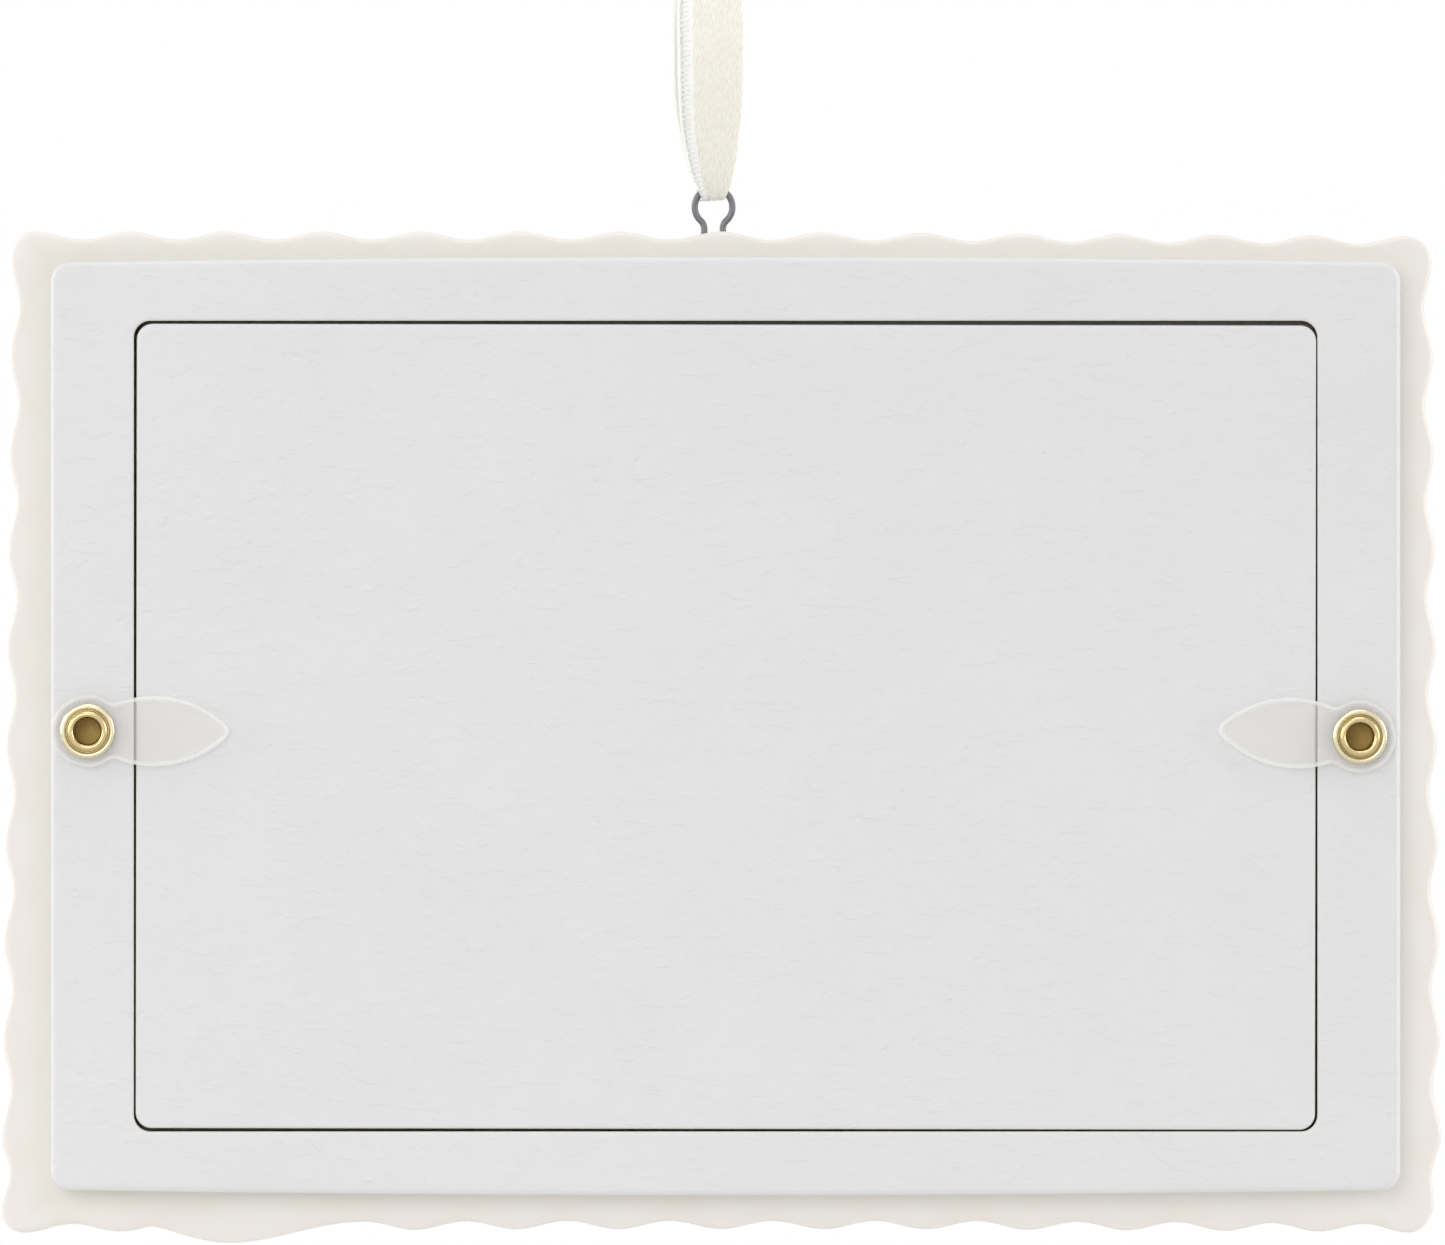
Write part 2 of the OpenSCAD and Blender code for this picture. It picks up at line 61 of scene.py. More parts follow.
Tree = bpy.types.NodeTree


class Side(Enum):
    """Sides of the ornament as its back is looked at."""

    LEFT = "left"
    RIGHT = "right"


class Shell(Enum):
    """How the first and last rings of a skin end: in flat caps, or in each other."""

    CAPPED = "capped"
    LOOPED = "looped"


def linear(code: str) -> tuple[float, float, float, float]:
    """Turns an sRGB hex colour into linear light.

    Args:
        code: Six hex digits.

    Returns:
        Red, green, blue and an alpha of one.
    """
    shares = [int(code[i : i + 2], 16) / 255 for i in (0, 2, 4)]
    red, green, blue = (c / 12.92 if c <= 0.04045 else ((c + 0.055) / 1.055) ** 2.4 for c in shares)
    return red, green, blue, 1.0


def add(tree: Tree, kind: str, inputs: Mapping[Any, Any] | None = None, **settings: Any) -> Node:
    """Adds a node with its settings, its fixed values and its links.

    Args:
        tree: The tree that gets the node.
        kind: Blender's name of the node's type.
        inputs: A value or an output socket for each input, by name or number.
        **settings: Properties of the node itself.

    Returns:
        The new node.
    """
    node = tree.nodes.new(kind)
    for name, value in settings.items():
        setattr(node, name, value)
    for key, value in (inputs or {}).items():
        if isinstance(value, Socket):
            tree.links.new(value, node.inputs[key])
        else:
            node.inputs[key].default_value = value
    return node


@dataclass(frozen=True)
class Finish:
    """What every finish shares: a name, roughness from the start to the end of its grain, and the
    depth of its relief."""

    name: str
    rough: Point = (0.5, 0.5)
    relief_m: float = 0.0

    def begin(self, **constants: Any) -> tuple[Material, Tree, Node]:
        """Starts a material on one principled shader.

        Args:
            **constants: Fixed values of the shader's own sockets, with underscores for spaces.

        Returns:
            The material, its tree and its shader.
        """
        material = bpy.data.materials.new(self.name)
        material.use_nodes = True
        tree = material.node_tree
        tree.nodes.clear()
        shader = add(tree, "ShaderNodeBsdfPrincipled", {k.replace("_", " "): v for k, v in constants.items()})
        add(tree, "ShaderNodeOutputMaterial", {"Surface": shader.outputs["BSDF"]})
        return material, tree, shader

    def complete(
        self, shader: Node, colour: Socket, grain: Socket | None = None, relief: Socket | None = None,
    ) -> None:
        """Feeds a shader its colour and, where they are given, its uneven gloss and its relief.

        Args:
            shader: The material's shader.
            colour: Its base colour.
            grain: Numbers from 0 to 1 over which the roughness runs.
            relief: Height of the surface, in shares of the relief's depth.
        """
        tree = shader.id_data
        tree.links.new(colour, shader.inputs["Base Color"])
        if grain is not None:
            dull = add(tree, "ShaderNodeMapRange", {0: grain, 3: self.rough[0], 4: self.rough[1]})
            tree.links.new(dull.outputs[0], shader.inputs["Roughness"])
        if relief is not None:
            bump = add(tree, "ShaderNodeBump", {"Height": relief, "Strength": 1.0, "Distance": self.relief_m})
            tree.links.new(bump.outputs[0], shader.inputs["Normal"])


@dataclass(frozen=True)
class CastResin(Finish):
    """Cast polyresin under a satin varnish: warm cream, with painted shade in the hollows of the
    wavy edge, paler crests, and painted contact shade where the lacquered board sits on it."""

    name: str = "cast_polyresin"
    pale: str = "EFEBE7"
    deep: str = "EAE6DF"
    # Painted contact shade where the lacquered board sits on the resin
    seat: str = "DFDDD1"
    mottle_mm: float = 6.0
    swell_mm: float = 2.6
    grain_mm: float = 0.35
    shade_reach_mm: float = 3.0
    back_mm: Point = (1.2, 2.1)
    # The painted contact shade grows over this stretch from the lower right to the upper left, by these
    # shares
    shade_slope_m: Point = (-0.1, 0.0)
    shade_slope_share: Point = (0.15, 0.75)
    rough: Point = (0.36, 0.5)
    relief_m: float = 0.00004

    def make(self, even_tone: float, board_at: Point, board_size: Point) -> Material:
        """Builds the material.

        Args:
            even_tone: The attribute crest where the waves leave the tone as it is.
            board_at: Centre of the board that sits on the resin, in the back view.
            board_size: Width and height of that board.

        Returns:
            The material.
        """
        material, tree, shader = self.begin(
            IOR=1.53, Specular_IOR_Level=0.45, Coat_Weight=0.12, Coat_Roughness=0.35,
            Subsurface_Weight=0.12, Subsurface_Scale=0.0015,
        )
        place = add(tree, "ShaderNodeTexCoord").outputs["Object"]
        mottle = add(
            tree, "ShaderNodeTexNoise", {"Vector": place, "Scale": 1000 / self.mottle_mm, "Detail": 3.0},
        )
        # Painted shade: the cream deepens in the hollows of the waves and pales on their crests
        crest = add(tree, "ShaderNodeAttribute", attribute_name="crest").outputs["Fac"]
        hollow = add(tree, "ShaderNodeMath", {0: even_tone, 1: crest}, operation="SUBTRACT").outputs[0]
        toned = add(
            tree, "ShaderNodeMath", {0: hollow, 1: 0.25, 2: mottle.outputs["Fac"]}, operation="MULTIPLY_ADD",
        )
        cream = add(
            tree, "ShaderNodeMix", {0: toned.outputs[0], 6: linear(self.pale), 7: linear(self.deep)},
            data_type="RGBA", clamp_factor=True,
        )
        # How far a point lies outside the board's edge, where painted contact shade deepens the cream along
        # it
        axes = add(tree, "ShaderNodeSeparateXYZ", {0: place}).outputs
        beside = []
        for socket, centre, size in (
            (axes["X"], -board_at[0], board_size[0]), (axes["Z"], board_at[1], board_size[1]),
        ):
            off = add(tree, "ShaderNodeMath", {0: socket, 1: centre / 1000}, operation="SUBTRACT").outputs[0]
            away = add(tree, "ShaderNodeMath", {0: off}, operation="ABSOLUTE").outputs[0]
            past = add(tree, "ShaderNodeMath", {0: away, 1: size / 2000}, operation="SUBTRACT").outputs[0]
            beside.append(past)
        outside = add(tree, "ShaderNodeMath", {0: beside[0], 1: beside[1]}, operation="MAXIMUM").outputs[0]
        near = add(
            tree, "ShaderNodeMapRange", {0: outside, 1: 0.0, 2: self.shade_reach_mm / 1000, 3: 1.0, 4: 0.0},
            interpolation_type="SMOOTHSTEP",
        )
        low, high = self.back_mm
        behind = add(tree, "ShaderNodeMapRange", {0: axes["Y"], 1: low / 1000, 2: high / 1000}).outputs[0]
        # The painted contact shade is strongest at the top of the left tab's side and weakest at the lower
        # right
        across = add(
            tree, "ShaderNodeVectorMath", {0: place, 1: (1.0, 0.0, 1.0)}, operation="DOT_PRODUCT",
        ).outputs["Value"]
        shade_slope = add(tree, "ShaderNodeMapRange", {
            0: across, 1: self.shade_slope_m[0], 2: self.shade_slope_m[1], 3: self.shade_slope_share[0], 4: self.shade_slope_share[1],
        }).outputs[0]
        shown = add(tree, "ShaderNodeMath", {0: near.outputs[0], 1: behind}, operation="MULTIPLY").outputs[0]
        painted_shade = add(tree, "ShaderNodeMath", {0: shown, 1: shade_slope}, operation="MULTIPLY").outputs[0]
        colour = add(
            tree, "ShaderNodeMix", {0: painted_shade, 6: cream.outputs[2], 7: linear(self.seat)}, data_type="RGBA",
        )
        grain, swell = (
            add(
                tree, "ShaderNodeTexNoise", {"Vector": place, "Scale": 1000 / size, "Detail": detail},
            ).outputs["Fac"]
            for size, detail in ((self.grain_mm, 2.0), (self.swell_mm, 1.0))
        )
        relief = add(tree, "ShaderNodeMath", {0: grain, 1: 0.05, 2: swell}, operation="MULTIPLY_ADD")
        self.complete(shader, colour.outputs[2], grain, relief.outputs[0])
        return material


@dataclass(frozen=True)
class LacqueredFibreboard(Finish):
    """Fibreboard sprayed with white lacquer: a light orange peel with small dimples and short
    level marks, worn thin along the panel's opening, where the brown board shows."""

    name: str = "lacquered_fibreboard"
    white: str = "E4E3E4"
    shade: str = "DDDDDE"
    thin: str = "E3DFCE"
    raw: str = "8C7860"
    cloud_mm: float = 1000 / 90
    fibre_mm: float = 1000 / 1400
    peel_mm: float = 1.1
    mark_mm: tuple[float, float] = (2.4, 1.1)
    dimple_mm: float = 2.6
    bend_share: float = 0.0006
    # Amounts of wear over which the lacquer thins, and over which the board is bared
    thin_at: Point = (0.42, 0.85)
    bare_at: Point = (0.8, 1.15)
    # Values of their textures over which a smear and a dimple rise and fall
    smear_at: Point = (0.56, 0.66)
    dimple_at: Point = (0.02, 0.16)
    rough: Point = (0.46, 0.9)
    relief_m: float = 0.000045

    def make(self) -> Material:
        """Builds the material; the attribute bare is 1 on raw board and 0 on full lacquer.

        Returns:
            The material.
        """
        material, tree, shader = self.begin(
            IOR=1.5, Specular_IOR_Level=0.5, Coat_Weight=0.1, Coat_Roughness=0.35,
        )
        place = add(tree, "ShaderNodeTexCoord").outputs["Object"]
        cloud = add(
            tree, "ShaderNodeTexNoise",
            {"Vector": place, "Scale": 1000 / self.cloud_mm, "Detail": 4.0, "Roughness": 0.6},
        )
        coat = add(
            tree, "ShaderNodeMix", {0: cloud.outputs["Fac"], 6: linear(self.white), 7: linear(self.shade)},
            data_type="RGBA",
        )
        # Wear: the attribute, broken up by a fine noise, thins the lacquer and then bares the board
        fibre = add(
            tree, "ShaderNodeTexNoise", {"Vector": place, "Scale": 1000 / self.fibre_mm, "Detail": 3.0},
        ).outputs["Fac"]
        bare = add(tree, "ShaderNodeAttribute", attribute_name="bare").outputs["Fac"]
        ragged = add(tree, "ShaderNodeMath", {0: fibre, 1: 0.5, 2: bare}, operation="MULTIPLY_ADD").outputs[0]
        thinned, bared = (
            add(
                tree, "ShaderNodeMapRange", {0: ragged, 1: start, 2: end}, interpolation_type="SMOOTHSTEP",
            )
            for start, end in (self.thin_at, self.bare_at)
        )
        edge = add(
            tree, "ShaderNodeMix", {0: thinned.outputs[0], 6: coat.outputs[2], 7: linear(self.thin)},
            data_type="RGBA",
        )
        colour = add(
            tree, "ShaderNodeMix", {0: bared.outputs[0], 6: edge.outputs[2], 7: linear(self.raw)},
            data_type="RGBA",
        )
        # Relief: orange peel, short level smears and small dimples whose round shape the peel bends
        peel = add(
            tree, "ShaderNodeTexNoise", {"Vector": place, "Scale": 1000 / self.peel_mm, "Detail": 2.0},
        ).outputs
        long_mm, high_mm = self.mark_mm
        drawn = add(
            tree, "ShaderNodeMapping",
            {"Vector": place, "Scale": (1000 / long_mm, 1000 / high_mm, 1000 / high_mm)},
        )
        smears = add(
            tree, "ShaderNodeTexNoise",
            {"Vector": drawn.outputs[0], "Scale": 1.0, "Detail": 3.0, "Distortion": 0.8},
        ).outputs["Fac"]
        marks = add(
            tree, "ShaderNodeMapRange", {0: smears, 1: self.smear_at[0], 2: self.smear_at[1]},
            interpolation_type="SMOOTHSTEP",
        )
        bent = add(
            tree, "ShaderNodeMix", {0: self.bend_share, 4: place, 5: peel["Color"]}, data_type="VECTOR",
        ).outputs[1]
        cells = add(
            tree, "ShaderNodeTexVoronoi", {"Vector": bent, "Scale": 1000 / self.dimple_mm},
        ).outputs["Distance"]
        dimples = add(
            tree, "ShaderNodeMapRange",
            {0: cells, 1: self.dimple_at[0], 2: self.dimple_at[1], 3: 1.0, 4: 0.0},
            interpolation_type="SMOOTHSTEP",
        )
        uneven = add(
            tree, "ShaderNodeMath", {0: marks.outputs[0], 1: 0.5, 2: peel["Fac"]}, operation="MULTIPLY_ADD",
        ).outputs[0]
        height = add(
            tree, "ShaderNodeMath", {0: dimples.outputs[0], 1: -0.8, 2: uneven}, operation="MULTIPLY_ADD",
        ).outputs[0]
        self.complete(shader, colour.outputs[2], bared.outputs[0], height)
        return material


@dataclass(frozen=True)
class ClearSheet(Finish):
    """Clear acrylic sheet: almost nothing but its gloss and a faint cool tint."""

    name: str = "clear_acrylic"
    tint: str = "EEF4F4"
    smear_mm: float = 9.0
    rough: Point = (0.03, 0.1)

    def make(self) -> Material:
        """Builds the material, with faint wiping marks in its gloss.

        Returns:
            The material.
        """
        material, tree, shader = self.begin(
            Base_Color=linear(self.tint), Alpha=0.1, IOR=1.49, Specular_IOR_Level=0.8,
        )
        place = add(tree, "ShaderNodeTexCoord").outputs["Object"]
        smear = add(
            tree, "ShaderNodeTexNoise", {"Vector": place, "Scale": 1000 / self.smear_mm, "Detail": 4.0},
        )
        dull = add(
            tree, "ShaderNodeMapRange", {0: smear.outputs["Fac"], 3: self.rough[0], 4: self.rough[1]},
        )
        tree.links.new(dull.outputs[0], shader.inputs["Roughness"])
        return material


@dataclass(frozen=True)
class CardStock(Finish):
    """Uncoated card: warm white, with the fine cloud of its pulp."""

    name: str = "uncoated_card"
    pale: str = "F0EEE8"
    pulp: str = "E6E3DA"
    fibre_mm: float = 0.5
    relief_m: float = 0.00001

    def make(self) -> Material:
        """Builds the material.

        Returns:
            The material.
        """
        material, tree, shader = self.begin(Roughness=0.85, Specular_IOR_Level=0.3)
        place = add(tree, "ShaderNodeTexCoord").outputs["Object"]
        fibre = add(
            tree, "ShaderNodeTexNoise",
            {"Vector": place, "Scale": 1000 / self.fibre_mm, "Detail": 6.0, "Roughness": 0.65},
        ).outputs["Fac"]
        colour = add(
            tree, "ShaderNodeMix", {0: fibre, 6: linear(self.pale), 7: linear(self.pulp)}, data_type="RGBA",
        )
        self.complete(shader, colour.outputs[2], relief=fibre)
        return material


@dataclass(frozen=True)
class ClearPlastic(Finish):
    """Moulded clear polypropylene: milky on the flat, denser along its round edge where the path through it
    is longer, and whiter there as a painted highlight of its bright edge lines.
    """

    name: str = "clear_polypropylene"
    milky: str = "FEFCFA"
    edge: str = "FEFEFC"
    milk: float = 0.23
    rim_milk_and_highlight: float = 0.42
    flow_mm: float = 1.6
    rough: Point = (0.12, 0.26)
    relief_m: float = 0.00003

    def make(self) -> Material:
        """Builds the material; the attribute rim is 1 on the tab's edge and 0 on its flat.

        Returns:
            The material.
        """
        material, tree, shader = self.begin(IOR=1.49, Specular_IOR_Level=0.6)
        # The rim is denser where the path through the milky plastic is longer, and whiter as a painted
        # highlight of the bright edge lines
        rim = add(tree, "ShaderNodeAttribute", attribute_name="rim").outputs["Fac"]
        colour = add(
            tree, "ShaderNodeMix", {0: rim, 6: linear(self.milky), 7: linear(self.edge)}, data_type="RGBA",
        )
        alpha = add(tree, "ShaderNodeMapRange", {0: rim, 3: self.milk, 4: self.rim_milk_and_highlight})
        tree.links.new(alpha.outputs[0], shader.inputs["Alpha"])
        place = add(tree, "ShaderNodeTexCoord").outputs["Object"]
        flow = add(
            tree, "ShaderNodeTexNoise", {"Vector": place, "Scale": 1000 / self.flow_mm, "Detail": 3.0},
        ).outputs["Fac"]
        self.complete(shader, colour.outputs[2], flow, flow)
        return material


@dataclass(frozen=True)
class PressedBrass(Finish):
    """Pressed brass with a bright pale finish: soft highlights, fine rub marks and painted shade
    low in the grooves and down the bore."""

    name: str = "pressed_brass"
    bright: str = "CCB98A"
    deep: str = "9C8545"
    rub_mm: float = 0.25
    rub_share: float = 0.3
    rough: Point = (0.2, 0.32)
    relief_m: float = 0.000006

    def make(self, low_mm: float, high_mm: float) -> Material:
        """Builds the material.

        Args:
            low_mm: Level at which the painted shade is deepest.
            high_mm: Level from which it is bright, with no painted shade.

        Returns:
            The material.
        """
        material, tree, shader = self.begin(Metallic=1.0)
        place = add(tree, "ShaderNodeTexCoord").outputs["Object"]
        # Painted shade: the brass darkens from high_mm down to low_mm, in the grooves and the bore
        height = add(tree, "ShaderNodeSeparateXYZ", {0: place}).outputs["Y"]
        lit = add(
            tree, "ShaderNodeMapRange", {0: height, 1: low_mm / 1000, 2: high_mm / 1000},
            interpolation_type="SMOOTHSTEP",
        ).outputs[0]
        rub = add(
            tree, "ShaderNodeTexNoise", {"Vector": place, "Scale": 1000 / self.rub_mm, "Detail": 3.0},
        ).outputs["Fac"]
        worn = add(
            tree, "ShaderNodeMath", {0: rub, 1: self.rub_share, 2: -self.rub_share / 2},
            operation="MULTIPLY_ADD",
        ).outputs[0]
        tone = add(tree, "ShaderNodeMath", {0: lit, 1: worn}, operation="ADD", use_clamp=True).outputs[0]
        colour = add(
            tree, "ShaderNodeMix", {0: tone, 6: linear(self.deep), 7: linear(self.bright)}, data_type="RGBA",
        )
        self.complete(shader, colour.outputs[2], rub, rub)
        return material


@dataclass(frozen=True)
class PaintedBoreReflection(Finish):
    """An amber disc in the foot of each eyelet's bore, blotched darker: a painted reflection of the brass and
    painted shade down the hole.
    """

    name: str = "dried_adhesive"
    amber: str = "E4C574"
    blotched: str = "C6A350"
    blotch_mm: float = 0.7
    relief_m: float = 0.00004

    def make(self) -> Material:
        """Builds the material.

        Returns:
            The material.
        """
        material, tree, shader = self.begin(Roughness=0.55, IOR=1.5)
        place = add(tree, "ShaderNodeTexCoord").outputs["Object"]
        blotches = add(
            tree, "ShaderNodeTexNoise", {"Vector": place, "Scale": 1000 / self.blotch_mm, "Detail": 2.0},
        ).outputs["Fac"]
        colour = add(
            tree, "ShaderNodeMix", {0: blotches, 6: linear(self.amber), 7: linear(self.blotched)},
            data_type="RGBA",
        )
        self.complete(shader, colour.outputs[2], relief=blotches)
        return material


@dataclass(frozen=True)
class DrawnSteel(Finish):
    """Drawn steel wire, dulled: mid grey with fine lines along the draw."""

    name: str = "drawn_steel"
    grey: str = "7E7F82"
    dark: str = "646568"
    line_mm: float = 0.12
    rough: Point = (0.38, 0.55)
    relief_m: float = 0.00001

    def make(self) -> Material:
        """Builds the material; the attribute around_mm runs round the wire and along_mm along it.

        Returns:
            The material.
        """
        material, tree, shader = self.begin(Metallic=0.85)
        around = add(tree, "ShaderNodeAttribute", attribute_name="around_mm").outputs["Fac"]
        along = add(tree, "ShaderNodeAttribute", attribute_name="along_mm").outputs["Fac"]
        place = add(tree, "ShaderNodeCombineXYZ", {"X": around, "Y": along}).outputs[0]
        drawn = add(
            tree, "ShaderNodeMapping", {"Vector": place, "Scale": (1 / self.line_mm, 0.5, 1.0)},
        ).outputs[0]
        lines = add(tree, "ShaderNodeTexNoise", {"Vector": drawn, "Scale": 1.0, "Detail": 3.0}).outputs["Fac"]
        colour = add(
            tree, "ShaderNodeMix", {0: lines, 6: linear(self.grey), 7: linear(self.dark)}, data_type="RGBA",
        )
        self.complete(shader, colour.outputs[2], lines, lines)
        return material


@dataclass(frozen=True)
class WovenSatin(Finish):
    """Woven satin ribbon: yellowish cream with short slanting floats, and a whiter knitted edge.

    The floats of such a ribbon are about 0.2 mm apart; they are drawn at 0.27 mm, so that they
    show in the render.
    """

    name: str = "woven_satin"
    cream: str = "F9F8F0"
    shade: str = "EBE8D6"
    edge: str = "FDFDFB"
    float_mm: float = 0.27
    # A wave texture has about this many bands in one unit
    bands_in_unit: float = 3.18
    stroke_at: Point = (0.9, 2.1)
    slant_deg: float = 75.0
    edge_from_mm: float = -1.6
    edge_blend_mm: float = 0.06
    seam_at_mm: float = -2.64
    seam_mm: float = 0.26
    seam: str = "D2D3CB"
    rough: Point = (0.55, 0.38)
    relief_m: float = 0.00003

    def make(self) -> Material:
        """Builds the material; the attributes across_mm and along_mm follow the cloth.

        Returns:
            The material.
        """
        material, tree, shader = self.begin(
            Sheen_Weight=0.25, Sheen_Roughness=0.4, IOR=1.5, Specular_IOR_Level=0.5,
            Subsurface_Weight=0.1, Subsurface_Scale=0.0006,
        )
        across = add(tree, "ShaderNodeAttribute", attribute_name="across_mm").outputs["Fac"]
        along = add(tree, "ShaderNodeAttribute", attribute_name="along_mm").outputs["Fac"]
        cloth = add(tree, "ShaderNodeCombineXYZ", {"X": across, "Y": along}).outputs[0]
        slant = (0.0, 0.0, math.radians(90 - self.slant_deg))
        turned = add(tree, "ShaderNodeMapping", {"Vector": cloth, "Rotation": slant}).outputs[0]
        broken = add(
            tree, "ShaderNodeMapping", {"Vector": turned, "Scale": (1 / self.float_mm, 1.5, 1.0)},
        ).outputs[0]
        floats = add(
            tree, "ShaderNodeTexNoise", {"Vector": broken, "Scale": 1.0, "Detail": 1.0},
        ).outputs["Fac"]
        lines = add(
            tree, "ShaderNodeTexWave",
            {
                "Vector": turned, "Scale": 1 / (self.float_mm * self.bands_in_unit),
                "Distortion": 0.6, "Detail": 1.0,
            },
            wave_type="BANDS", bands_direction="X",
        ).outputs["Fac"]
        weave = add(
            tree, "ShaderNodeMath", {0: floats, 1: 2.2, 2: lines}, operation="MULTIPLY_ADD",
        ).outputs[0]
        stroke = add(
            tree, "ShaderNodeMapRange", {0: weave, 1: self.stroke_at[0], 2: self.stroke_at[1]},
        ).outputs[0]
        satin = add(
            tree, "ShaderNodeMix", {0: stroke, 6: linear(self.shade), 7: linear(self.cream)},
            data_type="RGBA",
        )
        start, end = self.edge_from_mm - self.edge_blend_mm, self.edge_from_mm + self.edge_blend_mm
        knitted = add(
            tree, "ShaderNodeMapRange", {0: across, 1: start, 2: end, 3: 1.0, 4: 0.0},
        ).outputs[0]
        colour = add(
            tree, "ShaderNodeMix", {0: knitted, 6: satin.outputs[2], 7: linear(self.edge)}, data_type="RGBA",
        )
        # The seam beside the outer edge, where the knitting begins
        aside = add(tree, "ShaderNodeMath", {0: across, 1: self.seam_at_mm}, operation="SUBTRACT").outputs[0]
        apart = add(tree, "ShaderNodeMath", {0: aside}, operation="ABSOLUTE").outputs[0]
        sunk = add(
            tree, "ShaderNodeMapRange", {0: apart, 1: 0.0, 2: self.seam_mm, 3: 0.8, 4: 0.0},
            interpolation_type="SMOOTHSTEP",
        ).outputs[0]
        seamed = add(
            tree, "ShaderNodeMix", {0: sunk, 6: colour.outputs[2], 7: linear(self.seam)}, data_type="RGBA",
        )
        height = add(
            tree, "ShaderNodeMath", {0: sunk, 1: -2.0, 2: stroke}, operation="MULTIPLY_ADD",
        ).outputs[0]
        self.complete(shader, seamed.outputs[2], stroke, height)
        return material


@dataclass(frozen=True)
class KnitThread(Finish):
    """White polyester thread of the ribbon's knitted edge, with the twist of its filaments."""

    name: str = "polyester_thread"
    white: str = "FBFBF8"
    shade: str = "E4E4DC"
    twist_mm: float = 0.15

    def make(self) -> Material:
        """Builds the material.

        Returns:
            The material.
        """
        material, tree, shader = self.begin(Roughness=0.6, Sheen_Weight=0.3)
        place = add(tree, "ShaderNodeTexCoord").outputs["Object"]
        twist = add(
            tree, "ShaderNodeTexNoise", {"Vector": place, "Scale": 1000 / self.twist_mm, "Detail": 1.0},
        )
        colour = add(
            tree, "ShaderNodeMix", {0: twist.outputs["Fac"], 6: linear(self.white), 7: linear(self.shade)},
            data_type="RGBA",
        )
        self.complete(shader, colour.outputs[2])
        return material


@dataclass(frozen=True)
class StudioFloor(Finish):
    """Plain pale floor of the studio."""

    name: str = "studio_floor"
    pale: str = "E9E9E8"

    def make(self) -> Material:
        """Builds the material."""
        return self.begin(Base_Color=linear(self.pale), Roughness=0.9)[0]


@dataclass(frozen=True)
class Steps:
    """Numbers of points along a long side, a short side and a corner of a plan."""

    long: int
    short: int
    corner: int


def to_model(points: np.ndarray) -> np.ndarray:
    """Turns points (u, v, w) in millimetres into the part's frame in metres."""
    return np.stack([-points[:, 0], points[:, 2], points[:, 1]], axis=1) / 1000


def level(plan: np.ndarray, w: float) -> np.ndarray:
    """Lays a plan at a level."""
    return np.column_stack([plan, np.full(len(plan), w)])


def stack(stages: Sequence[tuple[np.ndarray, float, float]]) -> tuple[list[np.ndarray], np.ndarray]:
    """Lays plans at their levels, and gives each plan's number to all its points."""
    rings = [level(plan, w) for plan, w, _ in stages]
    return rings, np.repeat([number for _, _, number in stages], len(rings[0]))


def circle(count: int) -> np.ndarray:
    """Points round a unit circle."""
    turn = np.linspace(0, math.tau, count, endpoint=False)
    return np.column_stack([np.cos(turn), np.sin(turn)])


def rounding(radius: float, count: int) -> list[Point]:
    """How far in and how far down an edge's round is, from its side up to its top."""
    turn = np.linspace(0, math.pi / 2, count)
    return [(radius * (1 - math.cos(a)), radius * (1 - math.sin(a))) for a in turn]


def bead(outer: float, inner: float, base: float, rise: float, count: int) -> list[Point]:
    """Half an ellipse over a level, as radius and level, from an outer radius to an inner one."""
    middle, half = (outer + inner) / 2, (outer - inner) / 2
    return [(middle + half * math.cos(a), base + rise * math.sin(a)) for a in np.linspace(0, math.pi, count)]


def spin(degrees: float) -> np.ndarray:
    """Matrix that turns rows of points in the back view."""
    turn = math.radians(degrees)
    return np.array([[math.cos(turn), math.sin(turn)], [-math.sin(turn), math.cos(turn)]])


def both_faces(over: np.ndarray, under: np.ndarray) -> np.ndarray:
    """Numbers round a thin section: over one face and back under the other."""
    return np.concatenate([over, under[-2:0:-1]])


def outline(
    width: float, height: float, radius: float, steps: Steps, grow: float = 0.0, bow: float = 0.0,
) -> np.ndarray:
    """Outline of a rounded rectangle, counter-clockwise from the foot of its right side.

    Args:
        width: Width of the rectangle.
        height: Height of the rectangle at its ends.
        radius: Radius of its corners.
        steps: Numbers of points.
        grow: How far the outline is moved outwards.
        bow: How far the long sides bulge at their middle.

    Returns:
        The points, one a row.
    """
    a, b, s = width / 2 - radius, height / 2 - radius, radius + grow
    up = 2 * np.arange(1, steps.short) / steps.short - 1
    on = 2 * np.arange(1, steps.long) / steps.long - 1
    turn = np.linspace(0, math.pi / 2, steps.corner + 1)
    cos, sin = s * np.cos(turn), s * np.sin(turn)
    arch = b + s + bow * (1 - on**2)
    ends = np.full(len(up), a + s)
    return np.concatenate([
        np.column_stack([ends, b * up]), np.column_stack([a + cos, b + sin]),
        np.column_stack([-a * on, arch]), np.column_stack([-a - sin, b + cos]),
        np.column_stack([-ends, -b * up]), np.column_stack([-a - cos, -b - sin]),
        np.column_stack([a * on, -arch]), np.column_stack([a + sin, -b - cos]),
    ])


def skin(rings: Sequence[np.ndarray], shell: Shell) -> Skin:
    """Joins rings of equal numbers of points by quads.

    Args:
        rings: The rings, in order.
        shell: How the first and the last ring end.

    Returns:
        The points and the faces.
    """
    n, count = len(rings[0]), len(rings)
    spans = count if shell is Shell.LOOPED else count - 1
    faces: Faces = []
    for k in range(spans):
        low, high = k * n, (k + 1) % count * n
        faces += [(low + i, low + (i + 1) % n, high + (i + 1) % n, high + i) for i in range(n)]
    if shell is Shell.CAPPED:
        faces += [tuple(range(n - 1, -1, -1)), tuple(range((count - 1) * n, count * n))]
    return np.concatenate(rings), faces


